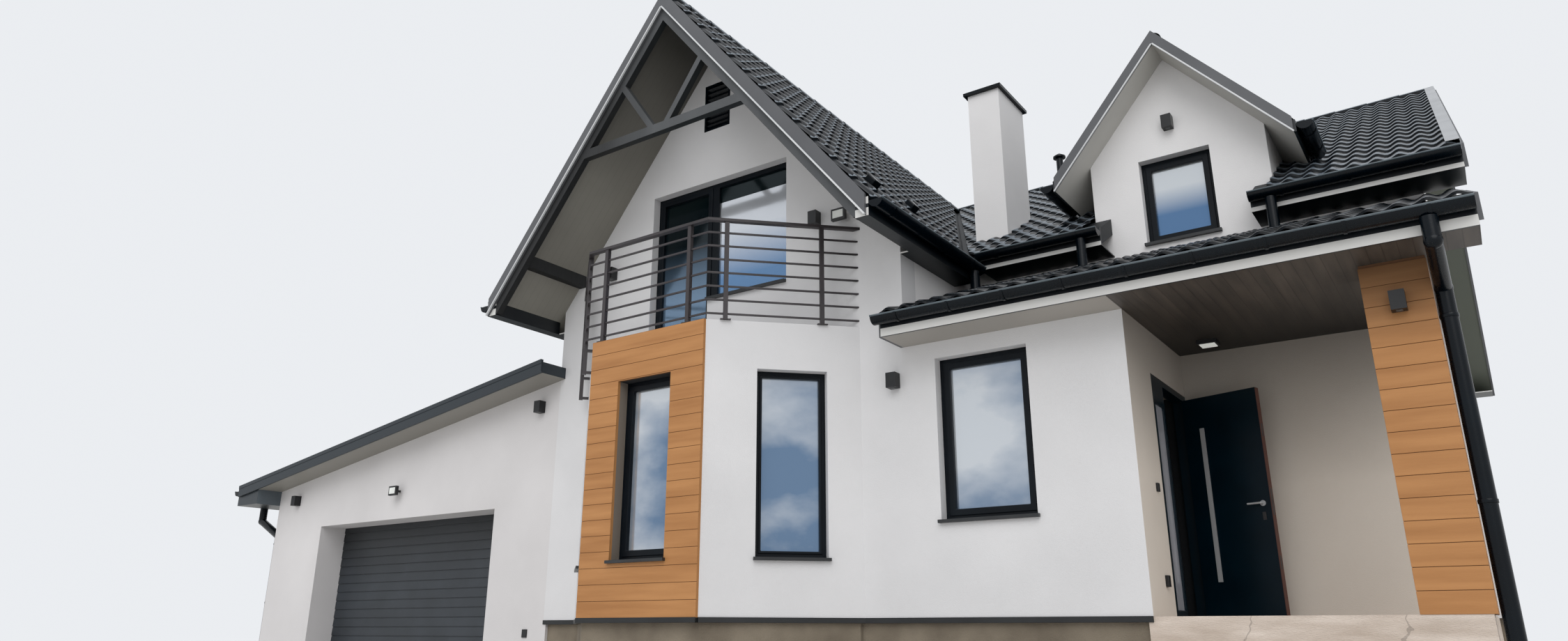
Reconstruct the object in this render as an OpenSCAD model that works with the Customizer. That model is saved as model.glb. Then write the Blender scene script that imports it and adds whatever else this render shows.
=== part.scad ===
// Detached house with a steep front gable, a bay under a balcony, a lean-to porch and a garage.
// Heights are measured from the porch floor, which lies floor_h above the ground.
// X runs to the right along the front, Y runs back and Z runs up.

/* [Walls] */
// Thickness of the outer walls
wall_t = 300; // [240:10:400]
// Height of the porch floor over the ground
floor_h = 850; // [600:10:1000]
// Height from the ground floor to the upper floor
storey_h = 2880; // [2800:10:3000]
// Thickness of the upper floor and of the balcony slab
slab_t = 240; // [180:10:260]
// Thickness of the ground floor slab
ground_slab_t = 200; // [150:10:300]
// Setback of the plinth behind the wall faces
plinth_set = 40; // [20:5:60]
// Depth of the main house from the front wall to the back wall
house_d = 11720; // [11000:10:12400]
// Distance from the wing to the porch corner
front_room_w = 2160; // [2100:10:2400]
// Width of the porch, from its corner to the right wall
porch_w = 2330; // [2200:10:2500]
// Setback of the porch back wall and the upper wall
porch_d = 1900; // [1800:10:2000]

/* [Gable wing] */
// Width of the gable wing
wing_w = 4970; // [4800:10:5100]
// Height of the ridges over the porch floor
ridge_z = 7105; // [7000:10:7300]
// Pitch of the wing roof in degrees
wing_pitch = 51; // [49:0.5:53]
// Overhang of the gable in front of the wall
gable_over = 1040; // [900:10:1200]
// Overhang of the wing eaves
wing_eave = 215; // [180:5:300]
// Thickness of the wing roof, measured upright
wing_roof_t = 175; // [150:5:200]

/* [Main roof] */
// Height of the main eaves over the porch floor
main_eave_z = 3985; // [3950:5:4030]
// Overhang of the main eaves
main_eave = 430; // [380:10:480]
// Distance that the main eaves run on in front of the dormer's wall
eave_lap = 170; // [140:5:200]
// Overhang of the verges
main_verge = 335; // [300:5:380]
// Thickness of the main roof, measured upright
main_roof_t = 185; // [160:5:220]

/* [Lower roof] */
// Pitch of the lower roof in degrees
lower_pitch = 21.2; // [20:0.1:23]
// Height of the lower roof's eave
lower_eave_z = 2800; // [2780:5:2850]
// Overhang of the lower roof
lower_eave = 430; // [380:10:460]
// Overhang of the lower roof past the right wall
lower_verge = 290; // [260:5:320]
// Thickness of the lower roof, measured upright
lower_roof_t = 180; // [150:5:190]
// Height of the underside of the porch ceiling
ceiling_z = 2580; // [2520:5:2590]

/* [Dormer] */
// Distance from the porch corner to the middle of the dormer
dormer_x = 192; // [150:1:230]
// Width of the dormer wall
dormer_w = 1815; // [1700:5:1900]
// Height of the dormer ridge
dormer_ridge_z = 6110; // [6000:10:6250]
// Pitch of the dormer roof in degrees
dormer_pitch = 49.9; // [48:0.1:51]
// Overhang of the dormer gable
dormer_over = 372; // [330:2:400]
// Overhang of the dormer eaves
dormer_eave = 296; // [260:2:320]
// Thickness of the dormer roof, measured upright
dormer_roof_t = 130; // [120:5:150]
// Thickness of the dormer's side walls
cheek_t = 150; // [120:5:180]

/* [Garage] */
// Width of the garage
garage_w = 6410; // [6200:10:6600]
// Depth of the garage
garage_d = 6500; // [6200:10:6800]
// Height of the garage roof at its left wall
garage_low_z = 2153; // [2120:1:2200]
// Pitch of the garage roof in degrees
garage_pitch = 8.3; // [8:0.1:9]
// Thickness of the garage roof, measured upright
garage_roof_t = 141; // [130:1:160]
// Overhang of the garage roof at the front and at the back
garage_over = 380; // [340:10:420]
// Overhang of the garage roof at the left eave
garage_eave = 560; // [500:10:600]
// Distance that the garage roof runs past the wing's corner
garage_lap = 80; // [60:5:120]
// Thickness of the garage's front wall, which the door closes from behind
garage_front_t = 410; // [350:5:450]
// Distance from the wing to the garage door's opening
garage_door_x = 1085; // [1000:5:1200]
// Width of the garage door's opening
garage_door_w = 4030; // [3900:10:4200]
// Height of the top of the garage door's opening
garage_door_z = 1393; // [1360:1:1420]
// Thickness of the garage door
garage_door_t = 45; // [40:1:60]
// Thickness of the garage floor
garage_floor_t = 40; // [30:5:60]

/* [Bay and balcony] */
// Offset of the bay from the middle of the wing
bay_shift = 75; // [60:5:90]
// Width of the bay's front face
bay_w = 1570; // [1500:5:1640]
// Depth of the bay
bay_d = 1122; // [1050:2:1180]
// Width of the bay's left side face, measured along the front wall
bay_left = 1250; // [1200:2:1290]
// Width of the bay's right side face, measured along the front wall
bay_right = 1122; // [1050:2:1180]
// Thickness of the bay's walls
bay_t = 250; // [220:5:280]
// Thickness of the board cladding
cladding_t = 30; // [20:1:40]
// Gap between the balcony slab and the lowest rail
rail_gap = 59; // [50:1:90]
// Number of rails
rail_n = 8; // [6:1:8]
// Distance from rail to rail
rail_pitch = 147; // [140:1:150]
// Thickness of the rails
rail_t = 18; // [12:1:24]
// Width of the railing posts
post_w = 45; // [40:1:50]

/* [Windows] */
// Width of the frame members, seen from the front
frame_w = 60; // [50:1:80]
// Depth of the window frames
frame_t = 80; // [70:1:90]
// Distance from the wall face to the window frame
reveal = 110; // [90:5:130]
// Thickness of the panes
pane_t = 24; // [20:1:30]
// Thickness of the window sills
sill_t = 30; // [20:1:40]
// Projection of the window sills
sill_out = 45; // [30:1:60]

/* [Entrance] */
// Width of the entrance's opening
entrance_w = 1200; // [1180:5:1240]
// Height of the entrance's opening
entrance_h = 2150; // [2100:5:2200]
// Width of the door leaf
leaf_w = 760; // [740:1:780]
// Thickness of the door leaf
leaf_t = 60; // [50:1:70]
// Width of the entrance's frame members
jamb_w = 60; // [55:1:60]
// Depth of the entrance's frame
jamb_d = 110; // [100:1:120]
// Width of the post between the sidelight and the door
mullion_w = 45; // [40:1:60]
// Height of the sidelight's top
sidelight_z = 1880; // [1800:5:1950]
// Gap around the door leaf
leaf_gap = 6; // [6:0.5:8]
// Gap under the door leaf
leaf_floor_gap = 15; // [12:1:20]
// Angle at which the door leaf stands open
leaf_open = 72; // [60:1:80]
// Diameter of the door hinges
hinge_d = 16; // [14:1:16]

/* [Porch] */
// Width and depth of the porch column
column_w = 440; // [420:5:460]
// Distance from the right wall's face to the column
column_set = 70; // [50:5:90]
// Distance from the right wall's face to the landing's edge
landing_set = 90; // [60:5:120]

/* [Chimney] */
// Width of the chimney, seen from the front
chimney_w = 416; // [400:2:450]
// Depth of the chimney
chimney_d = 790; // [600:10:850]
// Height of the chimney's top
chimney_z = 6480; // [6400:10:6600]
// Distance from the wing to the chimney's right face
chimney_x = 295; // [270:5:350]

/* [Gutters] */
// Radius of the gutters
gutter_r = 75; // [65:1:80]
// Thickness of the gutters' metal
gutter_t = 3; // [3:0.5:5]
// Diameter of the downpipes
pipe_d = 115; // [100:1:120]

/* [Lamps] */
// Width and depth of the wall lamps
lamp_w = 105; // [90:1:130]
// Height of the wall lamps
lamp_h = 150; // [130:1:180]
// Distance from the garage roof's underside to the middle of the lamps below it
lamp_under = 270; // [200:5:350]
// Height of the middle of the lamps beside the porch
porch_lamp_z = 2245; // [2150:5:2350]
// Height of the middle of the lamps on the balcony, over its slab
balcony_lamp_z = 1328; // [1200:2:1400]
// Width of the floodlights
flood_w = 170; // [140:5:200]
// Height of the floodlights
flood_h = 130; // [110:5:160]
// Width and depth of the lamp under the porch ceiling
ceiling_lamp_w = 180; // [150:5:240]

/* [Hidden] */
$fn = 48;

render_color = [0.86, 0.85, 0.84];
board_color = [0.74, 0.55, 0.35];
metal_color = [0.1, 0.12, 0.12];
trim_color = [0.33, 0.33, 0.35];
tile_color = [0.12, 0.14, 0.15];
frame_color = [0.16, 0.18, 0.2];

// Small overlap that cuts clean through a face
eps = 5;
// Reach of the cutting shapes past the house
far = 3000;
// Play between a sloping roof and what stands under it
play = 0.2;

// Plan of the main house, with the porch corner at X = 0 and the front wall at Y = 0
wing_right = -front_room_w;
wing_left = wing_right - wing_w;
wing_mid = wing_left + wing_w / 2;
right_x = porch_w;
garage_left = wing_left - garage_w;
ridge_y = (porch_d + house_d) / 2;

// Slopes and extents of the roofs
wing_slope = tan(wing_pitch);
lower_slope = tan(lower_pitch);
dormer_slope = tan(dormer_pitch);
garage_slope = tan(garage_pitch);
wing_half = wing_w / 2 + wing_eave;
dormer_half = dormer_w / 2 + dormer_eave;
dormer_edges = [dormer_x - dormer_half, dormer_x + dormer_half];
dormer_left = dormer_x - dormer_w / 2;
dormer_right = dormer_x + dormer_w / 2;
eave_end_left = dormer_left + eave_lap;
eave_end_right = dormer_right - eave_lap;
main_front_y = porch_d - main_eave;
main_back_y = house_d + main_eave;
main_half = ridge_y - main_front_y;
main_slope = (ridge_z - main_eave_z) / main_half;
main_left_x = wing_left - main_verge;
main_right_x = right_x + main_verge;
lower_right_x = right_x + lower_verge;
wing_left_x = wing_mid - wing_half;
wing_right_x = wing_mid + wing_half;
garage_tip_x = garage_left - garage_eave;
garage_lap_x = wing_left + garage_lap;

// Heights
ground_z = -floor_h;
upper_z = storey_h;
wing_eave_z = ridge_z - wing_slope * wing_half;
dormer_eave_z = dormer_ridge_z - dormer_slope * dormer_half;
dormer_eave_stop = main_front_y + (dormer_eave_z - dormer_roof_t - main_eave_z) / main_slope - 80;

// Boards along the eaves and the gables
fascia_t = 25;
soffit_t = 15;
barge_t = 30;
barge_rise = 30;
barge_drop = 18;
wing_eave_stop = 1250;
eave_box_w = 120;
garage_box_h = 140;

// Middle of the whole house, where the origin lies on the ground
house_left = garage_tip_x - fascia_t - 2 * gutter_r;
house_right = main_right_x + barge_t;
house_front = -bay_d - cladding_t - sill_out;
house_back = main_back_y + fascia_t + 2 * gutter_r;

module placed() {
    translate([-(house_left + house_right) / 2, -(house_front + house_back) / 2, floor_h])
        children();
}

// Height of a roof's top over a place in the plan
function lower_top(y) = lower_eave_z + lower_slope * (y + lower_eave);
function garage_top(x) = garage_low_z + garage_slope * (x - garage_left);

module box(x, y, z) {
    translate([x[0], y[0], z[0]])
        cube([x[1] - x[0], y[1] - y[0], z[1] - z[0]]);
}

// A profile in Y and Z that runs along X
module along_x(x, profile) {
    translate([x[0], 0, 0])
        rotate([90, 0, 90])
            linear_extrude(x[1] - x[0])
                polygon(profile);
}

// A profile in X and Z that runs along Y
module along_y(y, profile) {
    translate([0, y[1], 0])
        rotate([90, 0, 0])
            linear_extrude(y[1] - y[0])
                polygon(profile);
}

// The room below a gable roof
function gable_fill(mid, half, top, slope, low) = [
    [mid - half, low], [mid + half, low], [mid + half, top - slope * half], [mid, top],
    [mid - half, top - slope * half]
];

// A gable roof of one thickness, cut upright at its eaves
function gable_band(mid, half, top, slope, thick) = [
    [mid - half, top - slope * half - thick], [mid, top - thick], [mid + half, top - slope * half - thick],
    [mid + half, top - slope * half], [mid, top], [mid - half, top - slope * half]
];

// A roof with one slope, from its foot a to its head b
function lean_band(a, b, top_a, top_b, thick) = [
    [a, top_a - thick], [b, top_b - thick], [b, top_b], [a, top_a]
];

module under_main_top() {
    along_x([main_left_x, main_right_x], gable_fill(ridge_y, main_half, ridge_z, main_slope, -far));
}

module under_main_roof() {
    top = ridge_z - main_roof_t - play;
    along_x([main_left_x - eps, main_right_x + eps],
        gable_fill(ridge_y, main_half + eps, top, main_slope, -far));
}

module under_wing_roof(front = -gable_over - eps) {
    top = ridge_z - wing_roof_t - play;
    along_y([front, ridge_y], gable_fill(wing_mid, wing_half + eps, top, wing_slope, -far));
}

module under_lower_top(drop = 0) {
    y0 = -lower_eave - eps;
    y1 = porch_d + eps;
    along_x([wing_right, lower_right_x],
        [[y0, -far], [y1, -far], [y1, lower_top(y1) - drop], [y0, lower_top(y0) - drop]]);
}

module under_dormer_roof() {
    top = dormer_ridge_z - dormer_roof_t - play;
    along_y([porch_d - eps, ridge_y],
        gable_fill(dormer_x, dormer_half + eps, top, dormer_slope, upper_z));
}

module under_garage_roof() {
    x0 = garage_tip_x - eps;
    x1 = garage_lap_x + eps;
    low = garage_roof_t + play;
    along_y([-garage_over - eps, garage_d + garage_over + eps], [
        [x0, -far], [x1, -far], [x1, garage_top(x1) - low], [x0, garage_top(x0) - low]
    ]);
}

// Windows: middle along the wall, sill, width and height
front_window = [-1360, 837, 931, 1577];
bay_window = [0, 520, 732, 1869];
bay_side_window = [88, 520, 712, 1869];
dormer_window = [180, 3829, 738, 998];
back_windows = [[-5400, 900, 1400, 1400], [-1900, 900, 1400, 1400], [900, 900, 1000, 1400]];
right_windows = [[4300, 900, 1100, 1400], [8700, 900, 1100, 1400], [6810, 3800, 1300, 1300]];
left_window = [6810, 3800, 1300, 1300];
garage_window = [-10300, 300, 1200, 700];

// The balcony's door leaf on the left and its window on the right, with the heights of both
balcony_left = -5633;
balcony_post = -4724;
balcony_right = -3595;
balcony_head = 5098;
balcony_sill = 3568;

// The louvre in the gable: its width, height and foot
vent_w = 400;
vent_h = 640;
vent_z = 5790;

// Opening of a window in a wall whose face lies on the plane Y = 0
module opening(w, depth = wall_t) {
    margin = 60;
    translate([w[0] - w[2] / 2, -margin, w[1]])
        cube([w[2], depth + 2 * margin, w[3]]);
}

// Each of these places what is drawn for the plane Y = 0 on another wall
module on_upper_front() {
    translate([0, porch_d, 0])
        children();
}

module on_right() {
    translate([right_x, 0, 0])
        rotate([0, 0, 90])
            children();
}

module on_left() {
    translate([wing_left, 0, 0])
        mirror([1, 0, 0])
            rotate([0, 0, 90])
                children();
}

module on_back(y = house_d) {
    translate([0, y, 0])
        mirror([0, 1, 0])
            children();
}

bay_mid = wing_mid + bay_shift;

// Width and angle of the bay's side on the left, -1, or on the right, 1
function bay_side(side) = side < 0 ? bay_left : bay_right;
function bay_angle(side) = atan2(bay_d, bay_side(side));

module on_bay_front() {
    translate([bay_mid, -bay_d, 0])
        children();
}

module on_bay_side(side) {
    translate([bay_mid, 0, 0])
        mirror([side < 0 ? 1 : 0, 0, 0])
            translate([(bay_w + bay_side(side)) / 2, -bay_d / 2, 0])
                rotate([0, 0, bay_angle(side)])
                    children();
}

// Ground and floors

function house_outline(inset) = [
    [wing_left + inset, inset], [-inset, inset], [-inset, porch_d + inset],
    [right_x - inset, porch_d + inset], [right_x - inset, house_d - inset],
    [wing_left + inset, house_d - inset]
];

// Where one side of the bay, set in from its face, meets the front wall and a line parallel to it
function bay_end(side, inset) =
    bay_mid + side * (bay_w / 2 + bay_side(side) - inset / sin(bay_angle(side)));
function bay_corner(side, inset, front) =
    bay_mid + side * (bay_w / 2 - inset / sin(bay_angle(side)) + front / tan(bay_angle(side)));

// The bay's outline, from its left end round to its right, carried back to the line Y = back
function bay_outline(inset, back, left = undef) =
    let (near = is_undef(left) ? inset : left)
    [
        [bay_end(-1, near), back], [bay_end(-1, near), 0],
        [bay_corner(-1, near, inset), -bay_d + inset], [bay_corner(1, inset, inset), -bay_d + inset],
        [bay_end(1, inset), 0], [bay_end(1, inset), back]
    ];

module plinth() {
    color([0.66, 0.63, 0.57]) placed()
        translate([0, 0, ground_z])
            linear_extrude(floor_h)
                difference() {
                    union() {
                        polygon(house_outline(plinth_set));
                        polygon(bay_outline(plinth_set, plinth_set + eps));
                    }
                    polygon(house_outline(wall_t));
                    polygon(bay_outline(bay_t, wall_t + eps));
                }
}

module ground_floor() {
    color([0.6, 0.58, 0.55]) placed()
        translate([0, 0, -ground_slab_t])
            linear_extrude(ground_slab_t)
                union() {
                    polygon(house_outline(wall_t));
                    polygon(bay_outline(bay_t, wall_t + eps));
                }
}

module upper_floor() {
    color([0.6, 0.58, 0.55]) placed()
        translate([0, 0, upper_z - slab_t])
            linear_extrude(slab_t)
                polygon([
                    [wing_left + wall_t, wall_t], [wing_right, wall_t], [wing_right, porch_d],
                    [right_x - wall_t, porch_d], [right_x - wall_t, house_d - wall_t],
                    [wing_left + wall_t, house_d - wall_t]
                ]);
}

module garage_floor() {
    color([0.5, 0.5, 0.5]) placed()
        box([garage_left + wall_t, wing_left + plinth_set], [garage_front_t, garage_d - wall_t],
            [ground_z, ground_z + garage_floor_t]);
}

module porch_landing() {
    color([0.8, 0.75, 0.68]) placed()
        box([-plinth_set, right_x - landing_set], [0, porch_d + plinth_set], [ground_z, 0]);
}

// Walls of the house

module wing_front_wall() {
    through = [-eps, wall_t + eps];
    color(render_color) placed()
        difference() {
            intersection() {
                box([wing_left, wing_right], [0, wall_t], [0, ridge_z]);
                under_wing_roof();
            }
            box([bay_end(-1, bay_t), bay_end(1, bay_t)], through, [-eps, upper_z - slab_t]);
            box([balcony_left, balcony_post], through, [upper_z, balcony_head]);
            box([balcony_post - eps, balcony_right], through, [balcony_sill, balcony_head]);
            box([wing_mid - vent_w / 2, wing_mid + vent_w / 2], through, [vent_z, vent_z + vent_h]);
        }
}

module left_wall() {
    color(render_color) placed()
        difference() {
            intersection() {
                box([wing_left, wing_left + wall_t], [wall_t, house_d], [0, ridge_z]);
                union() {
                    under_wing_roof();
                    under_main_roof();
                }
            }
            on_left() opening(left_window);
        }
}

module right_wall() {
    color(render_color) placed()
        difference() {
            intersection() {
                box([right_x - wall_t, right_x], [porch_d, house_d], [0, ridge_z]);
                under_main_roof();
            }
            for (w = right_windows)
                on_right() opening(w);
        }
}

module back_wall() {
    color(render_color) placed()
        difference() {
            intersection() {
                box([wing_left + wall_t, right_x - wall_t], [house_d - wall_t, house_d], [0, ridge_z]);
                under_main_roof();
            }
            for (w = back_windows)
                on_back() opening(w);
        }
}

module front_wall() {
    color(render_color) placed()
        difference() {
            intersection() {
                box([wing_right, 0], [0, wall_t], [0, ridge_z]);
                under_lower_top(lower_roof_t + play);
            }
            opening(front_window);
        }
}

// The wall beside the doorway and the wall over it
module porch_side_wall() {
    door_front = porch_d - entrance_w;
    color(render_color) placed()
        intersection() {
            union() {
                box([-wall_t, 0], [wall_t, door_front], [0, ridge_z]);
                box([-wall_t, 0], [wall_t, porch_d], [entrance_h, ridge_z]);
            }
            under_lower_top(lower_roof_t + play);
        }
}

module porch_back_wall() {
    color(render_color) placed()
        box([-wall_t, right_x - wall_t], [porch_d, porch_d + wall_t], [0, upper_z - slab_t]);
}

// The upper wall with its return to the wing, and the dormer's front and sides that rise from it
module upper_front_wall() {
    top = [upper_z, ridge_z];
    back_y = porch_d + wall_t;
    color(render_color) placed()
        difference() {
            union() {
                intersection() {
                    union() {
                        box([wing_right, right_x - wall_t], [porch_d, back_y], top);
                        box([wing_right - wall_t, wing_right], [wall_t, back_y], top);
                    }
                    union() {
                        under_wing_roof();
                        under_main_roof();
                    }
                }
                intersection() {
                    difference() {
                        box([dormer_left, dormer_right], [porch_d, ridge_y], top);
                        box([dormer_left + cheek_t, dormer_right - cheek_t], [back_y, ridge_y + eps], top);
                        difference() {
                            under_main_top();
                            box([dormer_left - eps, dormer_right + eps], [main_front_y - eps, back_y], top);
                        }
                    }
                    under_dormer_roof();
                }
            }
            on_upper_front() opening(dormer_window);
        }
}

// Closes the porch roof's open end
module porch_gable() {
    gable_t = 120;
    color(render_color) placed()
        intersection() {
            box([right_x - gable_t, right_x], [-lower_eave, porch_d], [ceiling_z + soffit_t, ridge_z]);
            under_lower_top(lower_roof_t + play);
        }
}

// Garage

garage_door_right = wing_left - garage_door_x;
garage_door_left = garage_door_right - garage_door_w;

module garage_front_wall() {
    color(render_color) placed()
        difference() {
            union() {
                intersection() {
                    box([garage_left, wing_left], [0, garage_front_t], [ground_z, ridge_z]);
                    under_garage_roof();
                }
                box([wing_left - eps, wing_left + plinth_set], [0, garage_front_t], [ground_z, 0]);
            }
            box([garage_door_left, garage_door_right], [-eps, garage_front_t + eps],
                [ground_z - eps, garage_door_z]);
        }
}

module garage_rear_walls() {
    color(render_color) placed()
        difference() {
            intersection() {
                union() {
                    box([garage_left, garage_left + wall_t], [garage_front_t, garage_d],
                        [ground_z, ridge_z]);
                    box([garage_left, wing_left], [garage_d - wall_t, garage_d], [ground_z, ridge_z]);
                }
                under_garage_roof();
            }
            on_back(garage_d) opening(garage_window);
        }
}

module garage_door() {
    lap = 35;
    color([0.3, 0.3, 0.32]) placed()
        box([garage_door_left - lap, garage_door_right + lap],
            [garage_front_t, garage_front_t + garage_door_t],
            [ground_z + garage_floor_t, garage_door_z + lap]);
}

module garage_roof() {
    x0 = garage_tip_x;
    x1 = garage_lap_x;
    color(trim_color) placed()
        difference() {
            along_y([-garage_over, garage_d + garage_over],
                lean_band(x0, x1, garage_top(x0), garage_top(x1), garage_roof_t));
            box([wing_left, x1 + eps], [0, garage_d + garage_over + eps], [ground_z, ridge_z]);
        }
}

// Roofs of the house

module main_roof() {
    stack = chimney_span();
    back_y = porch_d + wall_t;
    color(tile_color) placed()
        difference() {
            along_x([main_left_x, main_right_x],
                gable_band(ridge_y, main_half, ridge_z, main_slope, main_roof_t));
            under_wing_roof(main_front_y - eps);
            box([dormer_left, dormer_right], [porch_d - play, back_y], [upper_z, ridge_z]);
            box([eave_end_left, eave_end_right], [main_front_y - eps, back_y], [upper_z, ridge_z]);
            intersection() {
                box([dormer_left + cheek_t, dormer_right - cheek_t], [back_y - eps, ridge_y],
                    [upper_z, ridge_z]);
                under_dormer_roof();
            }
            box(stack[0], stack[1], [upper_z, ridge_z]);
        }
}

module wing_roof() {
    color(tile_color) placed()
        difference() {
            along_y([-gable_over, ridge_y],
                gable_band(wing_mid, wing_half, ridge_z, wing_slope, wing_roof_t));
            under_main_top();
            under_lower_top();
        }
}

module lower_roof() {
    y0 = -lower_eave;
    color(tile_color) placed()
        along_x([wing_right, lower_right_x],
            lean_band(y0, porch_d, lower_top(y0), lower_top(porch_d), lower_roof_t));
}

module dormer_roof() {
    color(tile_color) placed()
        difference() {
            along_y([porch_d - dormer_over, ridge_y],
                gable_band(dormer_x, dormer_half, dormer_ridge_z, dormer_slope, dormer_roof_t));
            under_main_top();
        }
}

// A board along both slopes of a gable, standing proud of the tiles
function barge(mid, half, top, slope, low) =
    gable_band(mid, half, top + barge_rise, slope, barge_rise + low);

module barge_boards() {
    foot = -lower_eave;
    x0 = garage_tip_x;
    x1 = garage_lap_x;
    main_barge = barge(ridge_y, main_half, ridge_z, main_slope, main_roof_t + soffit_t);
    rise = barge_rise;
    color(trim_color) placed() {
        along_y([-gable_over - barge_t, -gable_over],
            barge(wing_mid, wing_half, ridge_z, wing_slope, wing_roof_t + barge_drop));
        along_y([porch_d - dormer_over - barge_t, porch_d - dormer_over],
            barge(dormer_x, dormer_half, dormer_ridge_z, dormer_slope, dormer_roof_t));
        along_x([main_right_x, main_right_x + barge_t], main_barge);
        along_x([main_left_x - barge_t, main_left_x], main_barge);
        along_x([lower_right_x, lower_right_x + barge_t],
            lean_band(foot, porch_d, lower_top(foot) + rise, lower_top(porch_d) + rise,
                lower_roof_t + rise));
        along_x([wing_right - barge_t, wing_right],
            [[foot, ceiling_z], [0, ceiling_z], [0, lower_top(0) + rise], [foot, lower_top(foot) + rise]]);
        along_y([-garage_over - barge_t, -garage_over],
            lean_band(x0, x1, garage_top(x0) + rise, garage_top(x1) + rise, garage_roof_t + rise));
    }
}

// Fascias that carry the gutters, and level soffits that close the eaves up to the wall
module eave_boards() {
    main_low = main_eave_z - main_roof_t - soffit_t;
    wing_low = wing_eave_z - wing_roof_t - soffit_t;
    garage_z = garage_top(garage_tip_x);
    garage_under = garage_z - garage_roof_t - play;
    color([0.8, 0.8, 0.78]) placed() {
        for (x = [[wing_right_x + fascia_t, eave_end_left], [eave_end_right, main_right_x]])
            along_x(x, eave_section(main_front_y, porch_d, main_low, main_eave_z));
        along_x([main_left_x, main_right_x], eave_section(main_back_y, house_d, main_low, main_eave_z));
        box([wing_right, lower_right_x], [-lower_eave - fascia_t, -lower_eave], [ceiling_z, lower_eave_z]);
        left = [wing_left_x, wing_left, wing_left_x + eave_box_w, main_front_y];
        right = [wing_right_x, wing_right, wing_right_x - eave_box_w, wing_eave_stop];
        for (eave = [left, right]) {
            along_y([-gable_over, 0], eave_box(eave[0], eave[2], wing_low, wing_eave_z));
            along_y([0, eave[3]], eave_section(eave[0], eave[1], wing_low, wing_eave_z));
        }
        for (side = [0, 1])
            translate([dormer_edges[side] - (1 - side) * fascia_t, 0, 0])
                box([0, fascia_t], [porch_d - dormer_over, dormer_eave_stop],
                    [dormer_eave_z - dormer_roof_t, dormer_eave_z]);
        along_y([-garage_over, garage_d + garage_over], [
            [garage_tip_x - fascia_t, garage_under - garage_box_h], [garage_left, garage_under - garage_box_h],
            [garage_left, garage_under + garage_slope * garage_eave], [garage_tip_x, garage_under],
            [garage_tip_x, garage_z], [garage_tip_x - fascia_t, garage_z]
        ]);
    }
}

// A fascia outside the roof's edge, with a soffit back to the wall
function eave_section(edge, wall, low, top) =
    let (out = edge + (edge < wall ? -fascia_t : fascia_t))
    [[out, low], [wall, low], [wall, low + soffit_t], [edge, low + soffit_t], [edge, top], [out, top]];

// The narrow closed box along an eave in front of the wall
function eave_box(edge, inner, low, top) =
    let (
        out = edge + (edge < inner ? -fascia_t : fascia_t),
        under = top - wing_roof_t - play,
        head = under + wing_slope * abs(edge - inner)
    )
    [[out, low], [inner, low], [inner, head], [edge, under], [edge, top], [out, top]];

// The truss in the gable overhang: rafters, a collar beam and two struts, with a purlin behind each foot
module gable_truss() {
    truss_t = 80;
    purlin_x = 2190;
    purlin_w = 110;
    purlin_h = 150;
    under = ridge_z - wing_roof_t - play;
    low = wing_eave_z - wing_roof_t;
    color([0.25, 0.26, 0.27]) placed() {
        translate([wing_mid, -gable_over + truss_t, 0])
            rotate([90, 0, 0])
                linear_extrude(truss_t)
                    truss_outline(under, low);
        for (side = [-1, 1]) {
            near = purlin_x - purlin_w / 2;
            out = purlin_x + purlin_w / 2;
            top = under - wing_slope * near;
            foot = top - purlin_h;
            along_y([-gable_over + truss_t, 0], [
                [wing_mid + side * near, foot], [wing_mid + side * out, foot],
                [wing_mid + side * out, under - wing_slope * out], [wing_mid + side * near, top]
            ]);
        }
    }
}

module truss_outline(under, low) {
    rafter_h = 175;
    collar_z = 5290;
    collar_h = 110;
    strut_w = 90;
    strut_head = 650;
    half = (under - low) / wing_slope;
    head_z = under - wing_slope * strut_head;
    foot = wing_half - eave_box_w - play;
    intersection() {
        polygon([
            [-foot, low], [foot, low], [foot, under - wing_slope * foot], [0, under],
            [-foot, under - wing_slope * foot]
        ]);
        union() {
            difference() {
                polygon([[-half, low], [half, low], [0, under]]);
                polygon([[-half, low - rafter_h], [half, low - rafter_h], [0, under - rafter_h]]);
            }
            translate([-half, collar_z])
                square([2 * half, collar_h]);
            for (side = [-1, 1])
                polygon([
                    [0, collar_z], [side * strut_w, collar_z], [side * (strut_head + strut_w / 2), head_z],
                    [side * (strut_head - strut_w / 2), head_z]
                ]);
        }
    }
}

// Gutters and downpipes

gutter_drop = 45;

module half_disc(r) {
    intersection() {
        circle(r);
        translate([-r, -r])
            square([2 * r, r]);
    }
}

// A half-round gutter with closed ends, from the origin along +X
module gutter(len) {
    rotate([90, 0, 90]) {
        linear_extrude(len)
            difference() {
                half_disc(gutter_r);
                translate([0, eps / 10])
                    circle(gutter_r - gutter_t);
            }
        for (z = [0, len - gutter_t])
            translate([0, 0, z])
                linear_extrude(gutter_t)
                    half_disc(gutter_r);
    }
}

// Gutters along X and along Y, from where they start to how long they are
module gutter_x(x, y, z) {
    translate([x[0], y, z - gutter_drop])
        gutter(x[1] - x[0]);
}

module gutter_y(x, y, z) {
    translate([x, y[0], z - gutter_drop])
        rotate([0, 0, 90])
            gutter(y[1] - y[0]);
}

gutter_out = fascia_t + gutter_r;
lower_gutter_y = -lower_eave - gutter_out;
upper_gutter_y = main_front_y - gutter_out;
back_gutter_y = main_back_y + gutter_out;
wing_gutter_left = wing_left_x - gutter_out;
wing_gutter_right = wing_right_x + gutter_out;
garage_gutter_x = garage_tip_x - gutter_out;
dormer_gutters = [dormer_edges[0] - gutter_out, dormer_edges[1] + gutter_out];

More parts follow.
